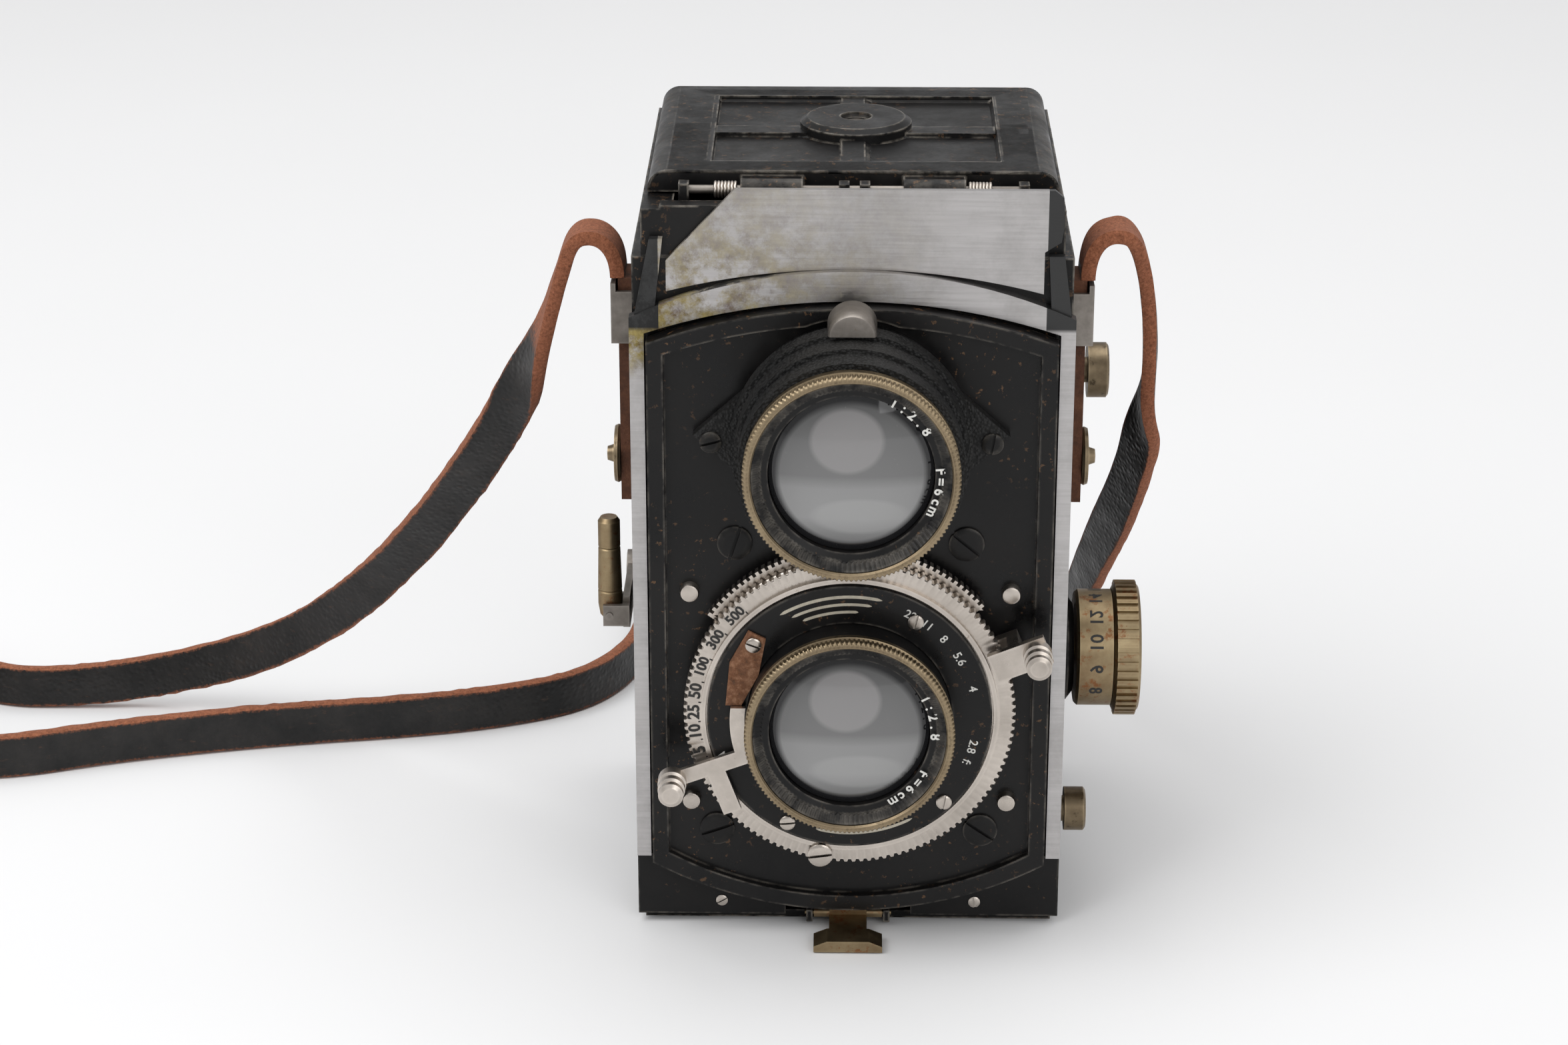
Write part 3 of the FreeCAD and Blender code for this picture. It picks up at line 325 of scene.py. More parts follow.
def brown_leather(name="brown_leather", dark=0.6):
    s = Shade(name, Roughness=0.75, Specular_IOR_Level=0.3)
    tone = s.ramp(s.noise(260, 7, 0.75), (0.3, (0.055, 0.022, 0.012)), (0.55, (0.17, 0.065, 0.032)),
                  (0.78, (0.36, 0.16, 0.085)))
    s.colour(s.mix(dark * 0.5, tone, (0.03, 0.02, 0.016)))
    s.bump(s.noise(1500, 6, 0.8), 0.5, 0.0004)
    return s.material


def rusty(name="rusty_leaf"):
    s = Shade(name, Roughness=0.75, Metallic=0.35)
    s.colour(s.ramp(s.noise(700, 7, 0.8), (0.3, (0.05, 0.03, 0.02)), (0.5, (0.20, 0.085, 0.04)),
                    (0.7, (0.42, 0.24, 0.14))))
    s.rough(s.ramp(s.noise(900, 4), (0.3, 0.45), (0.7, 0.9)))
    s.bump(s.noise(1200, 6, 0.8), 0.5, 0.0003)
    return s.material


def paint(name, colour, rough=0.5):
    """Filled engraving: flat paint with a little dirt."""
    s = Shade(name, Roughness=rough)
    s.colour(s.ramp(s.noise(900, 5, 0.7), (0.35, tuple(c * 0.75 for c in colour)), (0.65, colour)))
    s.bump(s.noise(2000, 3), 0.1, 0.0001)
    return s.material


def glass(name, tint, rough=0.03, haze=0.35, clear=0.7):
    """Old lens glass with a faint bloom and dust."""
    s = Shade(name, Roughness=rough, IOR=1.6, Transmission_Weight=clear, Coat_Weight=0.4, Coat_Roughness=0.02,
              Specular_IOR_Level=0.8)
    s.colour(s.ramp(s.noise(120, 6, 0.7), (0.35, tint), (0.8, tuple(min(1, c * 1.12) for c in tint))))
    s.rough(s.ramp(s.noise(1400, 4, 0.8), (0.62, rough), (0.72, haze)))
    return s.material


def lens_look(name="lens_painted_reflections"):
    """The front element: painted grey shade in its depths, a painted pale lower half, one broad soft painted
    reflection, a fainter painted reflection below it and a painted dark rim shade; the specks are dust.
    """
    s = Shade(name, Roughness=0.05, Specular_IOR_Level=0.35, Coat_Weight=0.25, Coat_Roughness=0.02)
    split = s.tree.nodes.new("ShaderNodeSeparateXYZ")
    s.link(s.where, split.inputs[0])
    up = s.times(s.times(s.times(split.outputs["Z"], 0.0166, "SUBTRACT"), 0.04, "MODULO"), 0.02, "SUBTRACT")

    def oval(x, z, wide, high):
        across = s.times(s.times(split.outputs["X"], x, "SUBTRACT"), wide, "DIVIDE")
        along = s.times(s.times(up, z, "SUBTRACT"), high, "DIVIDE")
        reach = s.times(s.times(across, across), s.times(along, along), "ADD")
        return s.times(reach, 0.5, "POWER")

    rise = s.times(s.times(up, 0.011, "ADD"), 0.022, "DIVIDE")
    # painted shade: grey depths, pale in the lower half and darker towards the top
    shade = s.ramp(rise, (0.0, 0.10), (0.22, 0.27), (0.42, 0.24), (0.50, 0.15), (0.75, 0.13), (1.0, 0.08))
    # painted highlight: the broad soft reflection of the light above the middle
    painted_highlight = s.ramp(oval(-0.0006, 0.0048, 0.0052, 0.0046), (0.86, 0.55), (1.0, 0.0))
    # painted reflection: a fainter pale patch below the middle
    painted_low_reflection = s.ramp(oval(0.0012, -0.0058, 0.0070, 0.0028), (0.80, 0.35), (1.0, 0.0))
    seen = s.mix(painted_highlight, shade, (0.30, 0.29, 0.29))
    seen = s.mix(painted_low_reflection, seen, (0.36, 0.36, 0.355))
    # painted shade: a dark rim round the edge of the glass
    rim = s.ramp(oval(0.0, 0.0, 0.011, 0.011), (0.86, 0.0), (0.93, 1.0))
    seen = s.mix(rim, seen, (0.012, 0.012, 0.013))
    dust = s.ramp(s.noise(2600, 3, 0.7), (0.70, 0.0), (0.76, 0.25))
    s.colour(s.mix(dust, seen, (0.45, 0.44, 0.43)))
    return s.material


ENAMEL = black_enamel()
LENS = lens_look()
SATIN = black_enamel("satin_black", 0.42, 0.66, 0.30)
SHELL = black_enamel("shell_black", 0.36, 0.60, 0.75)
PLATE = aluminium_plate()
NICKEL = bare_metal("nickel", (0.60, 0.545, 0.49), (0.40, 0.36, 0.32), 0.28, (1, 1, 1))
STEEL = bare_metal("dull_steel", (0.34, 0.31, 0.28), (0.13, 0.115, 0.10), 0.42)
BRASS = bare_metal("worn_brass", (0.30, 0.235, 0.15), (0.09, 0.065, 0.042), 0.40, stain=(0.06, 0.045, 0.03),
                   stained=0.56, edge=0.7)
BRONZE = bare_metal("bronze_grip", (0.36, 0.285, 0.17), (0.17, 0.11, 0.06), 0.38, stain=(0.22, 0.08, 0.03),
                    stained=0.55)
CRACKLE = crackle("crackle_black", 0.3, 2300, 0.02)
GRAIN = crackle("leatherette", 0.7, 620, 0.022)
STRAP = strap_leather()
BROWN = brown_leather()
RUST = rusty()
INK = paint("engraving_black", (0.012, 0.011, 0.010))
WHITE = paint("engraving_white", (0.75, 0.74, 0.70))
CREAM = paint("scale_silver", (0.55, 0.50, 0.40), 0.4)
CLEAR = glass("lens_glass", (0.86, 0.87, 0.88))
GROUND = glass("ground_glass", (0.80, 0.84, 0.80), 0.45, 0.6, 0.5)
SILVER = bare_metal("mirror_silver", (0.88, 0.88, 0.88), (0.70, 0.70, 0.70), 0.06, stained=0.72)
DARK = black_enamel("flat_black", 0.6, 0.7, 0.1)

CAD_LOOK = {
    "body_shell": SHELL, "front_frame": PLATE, "name_plate": PLATE, "chamber_front": SATIN,
    "lens_panel": ENAMEL,
    "viewing_barrel": CRACKLE, "peep_window": NICKEL, "viewing_rim": BRASS, "taking_rim": BRASS,
    "name_rings": SATIN, "front_glasses": CLEAR, "rear_glasses": CLEAR, "shutter_case": SATIN,
    "speed_ring": NICKEL, "stop_ring": NICKEL, "shutter_face": ENAMEL, "release_lever": NICKEL,
    "taking_barrel": SATIN, "iris_blades": STEEL, "shutter_screws": NICKEL, "sector_plate": RUST,
    "panel_posts": NICKEL, "panel_screws": SATIN, "ground_glass": GROUND, "mirror": SILVER,
    "hood_base": SHELL, "hood_lid": SHELL, "lid_springs": NICKEL, "hood_flap_left": SATIN,
    "hood_flap_right": SATIN, "hood_flap_rear": SATIN, "hinge_rods": STEEL, "magnifier_frame": SATIN,
    "magnifier_lens": CLEAR, "focus_collar": SATIN, "focus_drum": BRONZE, "focus_knob": BRONZE,
    "crank_dome": STEEL, "crank_arm": STEEL, "crank_handle": BRONZE, "takeup_spool": SATIN,
    "feed_spool": SATIN, "spool_knob_upper": BRASS, "spool_knob_lower": BRASS, "film_roller_lower": NICKEL,
    "film_roller_upper": NICKEL, "film_pivots": NICKEL, "back_wall": SHELL, "back_floor": SHELL,
    "pressure_plate": DARK,
    "back_leather": GRAIN, "latch_tab": BRONZE, "tripod_bush": STEEL, "side_leather": GRAIN,
    "strap_clips": STEEL, "strap_ends": BROWN, "strap_studs": BRASS, "strap_run_left": STRAP,
    "strap_run_right": STRAP, "strap_coil": STRAP,
}
for node, look in CAD_LOOK.items():
    for place in NODES[node].material_slots:
        place.link = "OBJECT"
        place.material = look


# ---------------------------------------------------------------- mesh helpers
def made(name, mesh, look, body, bevel=0.0, segments=2, smooth=True, replaces=()):
    """An object from a bmesh, with its look, its body and an optional rounded edge."""
    data = bpy.data.meshes.new(name)
    bmesh.ops.remove_doubles(mesh, verts=mesh.verts, dist=1e-7)
    bmesh.ops.recalc_face_normals(mesh, faces=mesh.faces)
    mesh.to_mesh(data)
    mesh.free()
    data.materials.append(look)
    piece = bpy.data.objects.new(name, data)
    bpy.context.scene.collection.objects.link(piece)
    if bevel:
        rounding = piece.modifiers.new("edges", "BEVEL")
        rounding.width = bevel
        rounding.segments = segments
        rounding.limit_method = "ANGLE"
        rounding.angle_limit = math.radians(40)
    if smooth:
        data.shade_smooth()
        data.set_sharp_from_angle(angle=math.radians(35))
    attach(piece, body)
    if replaces:
        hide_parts(*replaces)
    return piece


def revolve(mesh, centre, profile, steps=128, axis="y", teeth=0, deep=0.0, toothed=()):
    """Adds a turned ring.  profile is (radius, run) in mm, closed; teeth ripple the named points."""
    rings = []
    for k in range(steps):
        angle = 2 * math.pi * k / steps
        ring = []
        for i, (radius, run) in enumerate(profile):
            if i in toothed and (k * teeth * 2 // steps) % 2:
                radius -= deep
            a, b = radius * math.cos(angle), radius * math.sin(angle)
            offset = {"x": (run, a, b), "y": (a, run, b), "z": (a, b, run)}[axis]
            ring.append(mesh.verts.new(centre + Vector(offset) * 0.001))
        rings.append(ring)
    count = len(profile)
    for k in range(steps):
        here, there = rings[k], rings[(k + 1) % steps]
        for i in range(count):
            j = (i + 1) % count
            mesh.faces.new((here[i], here[j], there[j], there[i]))
    return mesh


def lettering(name, words, origin, along, up, height, bold=0.0):
    """Engraved characters: flat shapes laid on a face, centred at origin."""
    curve = bpy.data.curves.new(name, "FONT")
    curve.body = words
    curve.size = height * 0.001
    curve.align_x = "CENTER"
    curve.align_y = "CENTER"
    curve.resolution_u = 3
    curve.offset = bold * 0.001
    holder = bpy.data.objects.new(name, curve)
    bpy.context.scene.collection.objects.link(holder)
    bpy.context.view_layer.update()
    mesh = bmesh.new()
    mesh.from_mesh(bpy.data.meshes.new_from_object(holder))
    bpy.data.objects.remove(holder)
    along, up = Vector(along).normalized(), Vector(up).normalized()
    out = along.cross(up)
    turn = Matrix((along, up, out)).transposed().to_4x4()
    mesh.transform(Matrix.Translation(origin + out * 0.00003) @ turn)
    return mesh


# ---------------------------------------------------------------- strap mesh
def strap_frames(route):
    """Travel, width and thickness directions along the strap, turning smoothly."""
    run = [0.0]
    for a, b in zip(route, route[1:]):
        run.append(run[-1] + (b - a).length)
    frames = []
    for i, spot in enumerate(route):
        ahead = (route[min(i + 1, len(route) - 1)] - route[max(i - 1, 0)]).normalized()
        from_clip = min(run[i], run[-1] - run[i])
        upright = min(1.0, max(0.0, (from_clip - 0.010) / 0.045))
        upright = upright * upright * (3 - 2 * upright)
        side = -1 if run[i] > run[-1] / 2 else 1
        tip = -0.55
        if side < 0:
            tip += 1.0 * min(1.0, max(0.0, (from_clip - 0.085) / 0.05))
        wide = Vector((0, 1, 0)).lerp(Vector((0, 0, 1)), upright)
        raised = min(1.0, max(0.0, (spot.z - 0.0045) / 0.025))
        wide += Vector((0, tip * upright * raised, 0))
        lean = 0.16 * noise.noise(Vector((run[i] * 14, side, 0))) * upright
        wide = (wide - ahead * wide.dot(ahead)).normalized()
        if frames and wide.dot(frames[-1][1]) < 0:
            wide = -wide
        wide.rotate(Quaternion(ahead, lean if spot.z > 0.006 else lean * 0.4))
        frames.append((ahead, wide, ahead.cross(wide)))
    return run, frames


def make_strap(route):
    """A flat leather strap: grained faces, and cut edges that are ragged and marked as suede."""
    run, frames = strap_frames(route)
    half, thin = STRAP_WIDE / 2000, STRAP_THICK / 2000
    section = []
    for side in (-1, 1):
        for step in range(7):
            section.append((side * (-1 + 2 * step / 6) * 0.93, -side, 0))
        section.append((side * 0.985, -side * 0.62, 1))
        section.append((side * 1.0, 0, 1))
        section.append((side * 0.985, side * 0.62, 1))
    mesh = bmesh.new()
    mark = mesh.verts.layers.float_color.new("suede")
    rings = []
    for i, (spot, (_, wide, thick)) in enumerate(zip(route, frames)):
        waver = 1 + 0.05 * noise.noise(Vector((run[i] * 60, 3, 0)))
        ring = []
        for w, t, edge in section:
            fuzz = 0.00022 * noise.noise(Vector((run[i] * 900, w * 3, t * 2))) if edge else 0
            fuzz += 0.00010 * noise.noise(Vector((run[i] * 300, w * 5, t)))
            across = w * half * waver + fuzz * (1 if w > 0 else -1)
            spot_here = spot + wide * across + thick * (t * thin + fuzz * 0.5)
            spot_here.z = max(spot_here.z, 0.00005)
            vertex = mesh.verts.new(spot_here)
            from_clip = min(run[i], run[-1] - run[i])
            flesh = min(1.0, max(0.0, (0.034 - from_clip) / 0.012)) * (thick.z * t > 0.1)
            vertex[mark] = (max(edge, flesh, 0.42 * (abs(w) > 0.9)),) * 3 + (1,)
            ring.append(vertex)
        rings.append(ring)
    count = len(section)
    for here, there in zip(rings, rings[1:]):
        for k in range(count):
            mesh.faces.new((here[k], here[(k + 1) % count], there[(k + 1) % count], there[k]))
    mesh.faces.new(rings[0])
    mesh.faces.new(list(reversed(rings[-1])))
    return made("neck_strap", mesh, STRAP, "camera_body", smooth=True,
                replaces=("strap_run_left", "strap_run_right", "strap_coil"))


route = strap_route()
strap = make_strap(route)


# ---------------------------------------------------------------- front: rims, screws, scales
def knurled_rim(name, depth, height, long, node):
    """A push-on rim: fine knurling at its front edge, a plain bead and a stepped inside."""
    front = depth
    profile = [(13.35, front + 0.25), (13.55, front), (14.1, front), (14.4, front + 0.18),
               (14.5, front + 0.3), (14.5, front + 1.25), (14.1, front + 1.4), (14.1, front + 1.7),
               (14.45, front + 1.85), (14.45, front + long - 0.1), (14.3, front + long), (13.4, front + long)]
    mesh = revolve(bmesh.new(), at(0, 0, height), profile, steps=560, teeth=140, deep=0.22, toothed=(3, 4, 5))
    return made(name, mesh, BRASS, "front_standard", replaces=(node,))


def fine_inner_ring(depth, height):
    """Black fluted ring just inside a rim, with the name ring's sloping face."""
    mesh = bmesh.new()
    profile = [(12.3, depth + 1.35), (13.3, depth + 0.5), (13.3, depth + 1.9), (12.3, depth + 1.9)]
    revolve(mesh, at(0, 0, height), profile, steps=480, teeth=120, deep=0.25, toothed=(0,))
    revolve(mesh, at(0, 0, height), [(11.1, depth + 2.0), (12.4, depth + 1.5), (12.4, depth + 3.4),
                                     (11.1, depth + 3.4)], steps=128)
    return mesh


def round_words(mesh, words, depth, height, radius, start, step, letter, inward=True, bold=0.02):
    """Figures set round the lens axis, one every step degrees from start."""
    for k, word in enumerate(words):
        angle = math.radians(start + k * step)
        outward = Vector((math.cos(angle), 0, math.sin(angle)))
        across = Vector((math.sin(angle), 0, -math.cos(angle)))
        along, up = (across, outward) if inward else (-across, -outward)
        spot = at(0, depth, height) + outward * radius * 0.001
        sign = lettering("figure", word, spot, along, up, letter, bold)
        joined = bpy.data.meshes.new("figure")
        sign.to_mesh(joined)
        sign.free()
        mesh.from_mesh(joined)
    return mesh


def slotted_head(mesh, x, depth, z, radius, high, slot, angle, dome=0.35):
    """A screw head with a domed face, a rounded edge and a cut slot."""
    steps, turn = 48, math.radians(angle)
    rings = [(radius, 0.0), (radius, high * 0.75), (radius * 0.93, high * 0.95),
             (radius * 0.6, high + dome * 0.3), (0.0, high + dome * 0.42)]
    cut = Vector((math.cos(turn), math.sin(turn)))
    across = Vector((-cut.y, cut.x))
    for sign in (-1, 1):
        columns = []
        span = [math.pi * k / (steps // 2) for k in range(steps // 2 + 1)]
        for reach, rise in rings:
            row = []
            for t in span:
                flat = cut * (reach * math.cos(t)) + across * (sign * max(slot / 2, reach * math.sin(t)))
                row.append(mesh.verts.new(at(x + flat.x, depth - rise, z + flat.y)))
            columns.append(row)
        for a, b in zip(columns, columns[1:]):
            for i in range(len(span) - 1):
                corners = (a[i], a[i + 1], b[i + 1], b[i])
                mesh.faces.new(corners if sign > 0 else tuple(reversed(corners)))
        floor = [mesh.verts.new(v.co + Vector((0, high * 0.0007, 0))) for v in columns[-1]]
        for i in range(len(span) - 1):
            mesh.faces.new((columns[-1][i], columns[-1][i + 1], floor[i + 1], floor[i]))
    bottom = [mesh.verts.new(at(x + radius * 0.95 * math.cos(2 * math.pi * k / 24),
                                depth - high * 0.35, z + radius * 0.95 * math.sin(2 * math.pi * k / 24)))
              for k in range(24)]
    mesh.faces.new(list(reversed(bottom)))
    return mesh


TAKE_Z, VIEW_Z = 36.6, 76.6
view_rim = knurled_rim("viewing_rim_knurled", -19.7, VIEW_Z, 3.1, "viewing_rim")
take_rim = knurled_rim("taking_rim_knurled", -14.4, TAKE_Z, 2.7, "taking_rim")

rings = fine_inner_ring(-19.7, VIEW_Z)
inner = bpy.data.meshes.new("inner")
fine = fine_inner_ring(-14.4, TAKE_Z)
fine.to_mesh(inner)
fine.free()
rings.from_mesh(inner)
made("name_rings_fluted", rings, SATIN, "front_standard", replaces=("name_rings",))

figures = bmesh.new()
round_words(figures, list("1:2.8   F=6cm"), -18.4, VIEW_Z, 11.75, 62, -7.2, 1.9, bold=0.05)
round_words(figures, list("1:2.8   F=6cm"), -13.1, TAKE_Z, 11.75, 28, -7.2, 1.9, bold=0.05)
made("name_ring_figures", figures, WHITE, "front_standard", smooth=False)

# the nickel speed ring: a broad bright face with fine gripping teeth
ring = revolve(bmesh.new(), at(0, 0, TAKE_Z),
               [(19.25, -6.2), (22.55, -6.2), (22.98, -6.12), (23.1, -5.95), (23.1, -4.6), (22.6, -4.5),
                (19.25, -4.5)],
               steps=780, teeth=130, deep=0.42, toothed=(2, 3, 4))
lip = revolve(bmesh.new(), at(0, 0, TAKE_Z),
              [(20.05, -7.0), (20.7, -7.0), (20.7, -6.1), (20.05, -6.1)],
              steps=180)
lip_data = bpy.data.meshes.new("lip")
lip.to_mesh(lip_data)
lip.free()
ring.from_mesh(lip_data)
made("speed_ring_toothed", ring, NICKEL, "speed_ring", replaces=("speed_ring",))

# shutter speeds engraved round the left of the ring, and their marks
speeds = [("500", 137), ("300", 149), ("100", 161), ("50", 171), ("25", 179.5), ("10", 187.5), ("5", 195),
          ("2", 202.5), ("1", 210), ("B", 217.5)]
scale = bmesh.new()
for text, angle in speeds:
    round_words(scale, [text], -6.24, TAKE_Z, 21.65, angle, 0, 2.3 if len(text) < 3 else 2.0, bold=0.06)
made("speed_scale", scale, INK, "speed_ring", smooth=False)
marks = bmesh.new()
for k, (_, angle) in enumerate(speeds):
    a = math.radians(angle - 4)
    out, side = Vector((math.cos(a), 0, math.sin(a))), Vector((-math.sin(a), 0, math.cos(a)))
    mid = at(0, -6.24, TAKE_Z)
    stroke = ((20.4, -0.09), (21.1, -0.09), (21.1, 0.09), (20.4, 0.09))
    corners = [mid + (out * r + side * s) * 0.001 for r, s in stroke]
    marks.faces.new([marks.verts.new(c) for c in corners])
made("speed_marks", marks, INK, "speed_ring", smooth=False)

# the black shutter face: silver arcs, stop figures and the white pointer
art = bmesh.new()


def arc_band(mesh, inner, outer, first, last, depth, centre_z):
    """A thin flat band along an arc, rounded at its ends by tapering."""
    steps = 40
    rows = []
    for k in range(steps + 1):
        a = math.radians(first + (last - first) * k / steps)
        near = min(1, k / 1.5, (steps - k) / 1.5)
        mid, half = (inner + outer) / 2, (outer - inner) / 2 * max(near, 0.1)
        rows.append([mesh.verts.new(at(r * math.cos(a), depth, centre_z + r * math.sin(a)))
                     for r in (mid - half, mid + half)])
    for a, b in zip(rows, rows[1:]):
        mesh.faces.new((a[0], a[1], b[1], b[0]))


for inner_r, outer_r, first, last in ((18.0, 18.45, 76, 122), (16.9, 17.3, 80, 118), (15.8, 16.2, 86, 114),
                                      (17.6, 18.0, 255, 300)):
    arc_band(art, inner_r, outer_r, first, last, -7.44, TAKE_Z)
made("face_arcs", art, CREAM, "front_standard", smooth=False)
stops = bmesh.new()
for text, angle in (("22", 62), ("11", 53), ("8", 43), ("5.6", 31), ("4", 15), ("2.8", -14), ("f:", -22)):
    round_words(stops, [text], -7.44, TAKE_Z, 17.6, angle, 0, 1.7, inward=True)
pointer = [Vector((x, 0, z)) for x, z in ((-19.5, -6.9), (-17.4, -5.2), (-17.1, -7.2))]
stops.faces.new([stops.verts.new(at(0, -7.44, TAKE_Z) + v * 0.001) for v in pointer])
made("stop_figures", stops, WHITE, "front_standard", smooth=False)

# slotted screws and posts
big = bmesh.new()
for x, z, angle in ((-16, 60.2, 72), (16, 60.2, -40), (-18.7, 16.3, 20), (18.7, 16.3, -35)):
    slotted_head(big, x, -1.02, z, 2.45, 0.5, 0.45, angle)
for x, angle in ((-19.2, 15), (19.2, 80)):
    slotted_head(big, x, -2.95, VIEW_Z - 0.9, 1.5, 0.5, 0.35, angle)
made("panel_screws_slotted", big, SATIN, "front_standard", replaces=("panel_screws",))
small = bmesh.new()
for x, depth, z, angle in ((9, -7.4, 14.6, 75), (13.3, -7.4, -12.8, 80), (-8.6, -7.4, -16.2, 5),
                           (-13.3, -7.95, 11.2, -20)):
    slotted_head(small, x, depth, TAKE_Z + z, 1.1, 0.42, 0.28, angle, 0.2)
slotted_head(small, -4, -7.05, TAKE_Z - 21.4, 1.75, 0.5, 0.4, 8, 0.2)
made("shutter_screws_slotted", small, NICKEL, "front_standard", replaces=("shutter_screws",))
posts = bmesh.new()
for x in (-22.3, 22.3):
    for z in (53, 21.1):
        revolve(posts, at(x, -1.02, z), [(0.001, -1.5), (0.9, -1.48), (1.2, -1.36), (1.35, -1.1), (1.35, 0),
                                         (0.001, 0)], steps=40)
made("panel_posts_domed", posts, NICKEL, "front_standard", replaces=("panel_posts",))
foot = bmesh.new()
for x in (-18.2, 18.2):
    slotted_head(foot, x, 1.1, 3.6, 0.85, 0.22, 0.22, 30 if x < 0 else 100, 0.15)
made("chamber_screws", foot, NICKEL, "camera_body")

# glasses: curved front elements with a second surface behind; their dim grey look is painted shade and
# painted reflection in the colour
def lens_glass(mesh, depth, height):
    profile = [(0.001, depth + 1.3)]
    profile += [(11 * k / 14, depth + 1.3 + 1.7 * (k / 14) ** 2) for k in range(1, 15)]
    profile += [(11, depth + 4.5), (8, depth + 4.8), (0.001, depth + 5)]
    return revolve(mesh, at(0, 0, height), profile, steps=96)


fronts = lens_glass(lens_glass(bmesh.new(), -19.7, VIEW_Z), -14.4, TAKE_Z)
made("front_glasses_curved", fronts, LENS, "front_standard", replaces=("front_glasses",))


# ---------------------------------------------------------------- hood lid
def lid_surface():
    """Cast lid: a recessed, leather-covered panel crossed by ribs that swell into a round boss."""
    mesh = bmesh.new()
    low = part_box("hood_lid")[0]
    top, floor, base = 110.4, 109.4, 108.9
    nx, ny = 120, 96
    x0, x1, y0, y1 = -28.0, 28.0, 9.4, 54.0
    grid = []
    for j in range(ny + 1):
        row = []
        for i in range(nx + 1):
            x, y = x0 + (x1 - x0) * i / nx, y0 + (y1 - y0) * j / ny
            z = top
            side = min(x - x0, x1 - x)
            if side < 2.6:
                z -= 2.6 - math.sqrt(max(0, 2.6 ** 2 - (2.6 - side) ** 2))
            back = y1 - y
            if back < 1.6:
                z -= 1.6 - math.sqrt(max(0, 1.6 ** 2 - (1.6 - back) ** 2))
            inside = min(x + 19.8, 20.3 - x, y - 14.5, 48.8 - y)
            if inside > 0:
                depth = min(1, inside / 0.5)
                sunk = top - 1.15 * depth
                lens_x, lens_y = (x - 0.4) / 12.5, (y - 32.2) / 3.4
                body = 1 - lens_x ** 2 - abs(lens_y) ** 1.5
                rib_x = 1.75 - abs(x - 0.4)
                rib_y = 1.9 - abs(y - 32.2)
                rib = max(rib_x, rib_y, body * 3.0)
                height = top - 0.55 if rib > 0 else sunk
                if -0.6 < rib <= 0:
                    height = sunk + (top - 0.55 - sunk) * (rib + 0.6) / 0.6
                z = max(sunk, height)
            row.append(mesh.verts.new(at(x, y, z)))
        grid.append(row)
    for a, b in zip(grid, grid[1:]):
        for i in range(nx):
            mesh.faces.new((a[i], a[i + 1], b[i + 1], b[i]))
    return mesh


def paint_lid(piece):
    """Grained covering in the four recesses, enamel on the casting."""
    piece.data.materials.append(GRAIN)
    for face in piece.data.polygons:
        centre = face.center * 1000
        inside = -19.2 < centre.x < 19.7 and 15.1 < centre.y + 28 < 48.2
        if inside and centre.z < 109.5:
            face.material_index = 1


lid = made("hood_lid_casting", lid_surface(), SHELL, "hood_lid")
paint_lid(lid)
under = lid.modifiers.new("thickness", "SOLIDIFY")
under.thickness = 0.0004
under.offset = -1
boss = bmesh.new()
revolve(boss, at(0.4, 33.4, 110.4), [(0.001, 0.35), (2.0, 0.35), (2.3, 1.1), (5.6, 1.15), (6.6, 0.95),
                                     (7.4, 0.45), (7.85, -0.3), (7.9, -1.2), (0.001, -1.2)],
        steps=96, axis="z")
made("lid_boss", boss, SHELL, "hood_lid")
screw = bmesh.new()
revolve(screw, at(0.4, 33.4, 110.6), [(0.001, 0.35), (1.2, 0.3), (1.75, 0.1), (1.75, -0.2), (0.001, -0.2)],
        steps=40, axis="z")
made("lid_boss_screw", screw, STEEL, "hood_lid")

# distance figures on the focus drum
drum = bmesh.new()
for k, text in enumerate(("8", "9", "10", "12", "14", "16", "18", "20", "24", "30")):
    angle = math.radians(205 - k * 26)
    out = Vector((0, math.cos(angle), math.sin(angle)))
    spot = at(35.1, 16, 37.4) + out * 0.00843
    sign = lettering("distance", text, spot, out.cross(Vector((1, 0, 0))), (1, 0, 0), 2.6, 0.05)
    for vertex in sign.verts:
        offset = vertex.co - at(35.1, 16, 37.4)
        flat = Vector((0, offset.y, offset.z)).normalized() * 0.00843
        vertex.co = at(35.1, 16, 37.4) + Vector((offset.x, flat.y, flat.z))
    part = bpy.data.meshes.new("distance")
    sign.to_mesh(part)
    sign.free()
    drum.from_mesh(part)
made("distance_scale", drum, INK, "focus_control", smooth=False)

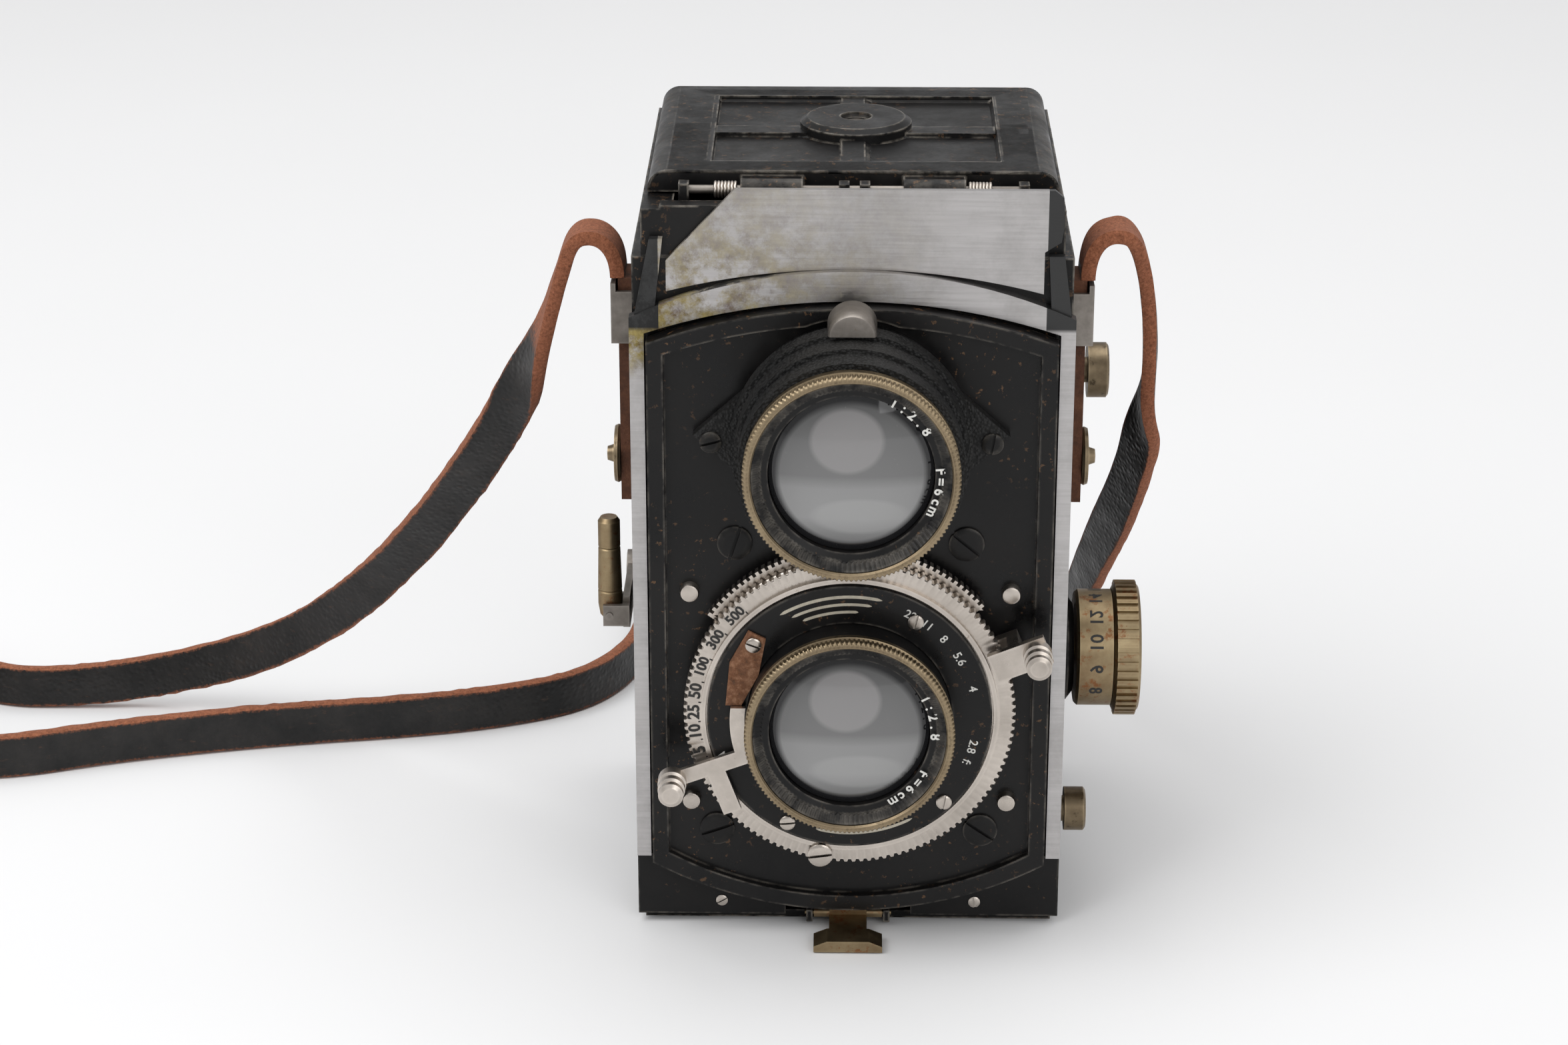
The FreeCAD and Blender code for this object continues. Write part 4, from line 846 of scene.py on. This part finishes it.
# viewing barrel: window cap over the shutter scale at the top
cap = bmesh.new()
steps = 24
rows = []
for depth, grow in ((-9.0, 0.0), (-8.6, 0.25), (-3.0, 0.35), (-2.4, 0.0)):
    row = []
    for k in range(steps + 1):
        a = math.pi * k / steps
        row.append(cap.verts.new(at(3.0 * math.cos(a) + grow * math.cos(a), depth,
                                    VIEW_Z + 16.25 + (2.85 + grow) * math.sin(a))))
    rows.append(row)
for a, b in zip(rows, rows[1:]):
    for k in range(steps):
        cap.faces.new((a[k], a[k + 1], b[k + 1], b[k]))
cap.faces.new(rows[0])
cap.faces.new(list(reversed(rows[-1])))
made("peep_window_cap", cap, STEEL, "front_standard", replaces=("peep_window",))


# ---------------------------------------------------------------- floor and light
def make_stage():
    """A seamless pale sweep, a big soft light overhead and to the left, and pale fill."""
    floor = bmesh.new()
    rows = []
    for k in range(25):
        if k < 12:
            y, z = -1.2 + k * 0.2, 0.0
        else:
            angle = (k - 12) / 12 * math.pi / 2
            y, z = 1.0 + 0.8 * math.sin(angle), 0.8 - 0.8 * math.cos(angle)
        rows.append([floor.verts.new((x, y, z - 0.00002)) for x in (-2.2, 2.2)])
    for a, b in zip(rows, rows[1:]):
        floor.faces.new((a[0], a[1], b[1], b[0]))
    data = bpy.data.meshes.new("sweep")
    floor.to_mesh(data)
    floor.free()
    data.shade_smooth()
    paper = Shade("paper", Roughness=0.75, Specular_IOR_Level=0.2)
    paper.colour(paper.ramp(paper.noise(3, 3), (0.3, (0.79, 0.79, 0.795)), (0.7, (0.81, 0.81, 0.815))))
    data.materials.append(paper.material)
    sweep = bpy.data.objects.new("sweep", data)
    bpy.context.scene.collection.objects.link(sweep)

    for name, spot, aim, wide, high, power in (
            ("key", (-0.55, -0.35, 0.95), (0, 0.0, 0.03), 0.8, 0.8, 6.6),
            ("top", (0.15, 0.25, 1.15), (0, 0.02, 0.05), 1.0, 0.8, 4.4),
            ("front", (0.5, -0.95, 0.55), (0, 0, 0.06), 0.7, 0.7, 3)):
        light = bpy.data.lights.new(name, "AREA")
        light.shape = "RECTANGLE"
        light.size, light.size_y = wide, high
        light.energy = power
        lamp = bpy.data.objects.new(name, light)
        lamp.location = spot
        lamp.rotation_euler = (Vector(aim) - Vector(spot)).to_track_quat("-Z", "Y").to_euler()
        bpy.context.scene.collection.objects.link(lamp)

    world = bpy.data.worlds.new("studio")
    world.use_nodes = True
    world.node_tree.nodes["Background"].inputs["Color"].default_value = (1, 1, 1, 1)
    world.node_tree.nodes["Background"].inputs["Strength"].default_value = 0.56
    bpy.context.scene.world = world
    bpy.context.scene.view_settings.view_transform = "Standard"


make_stage()
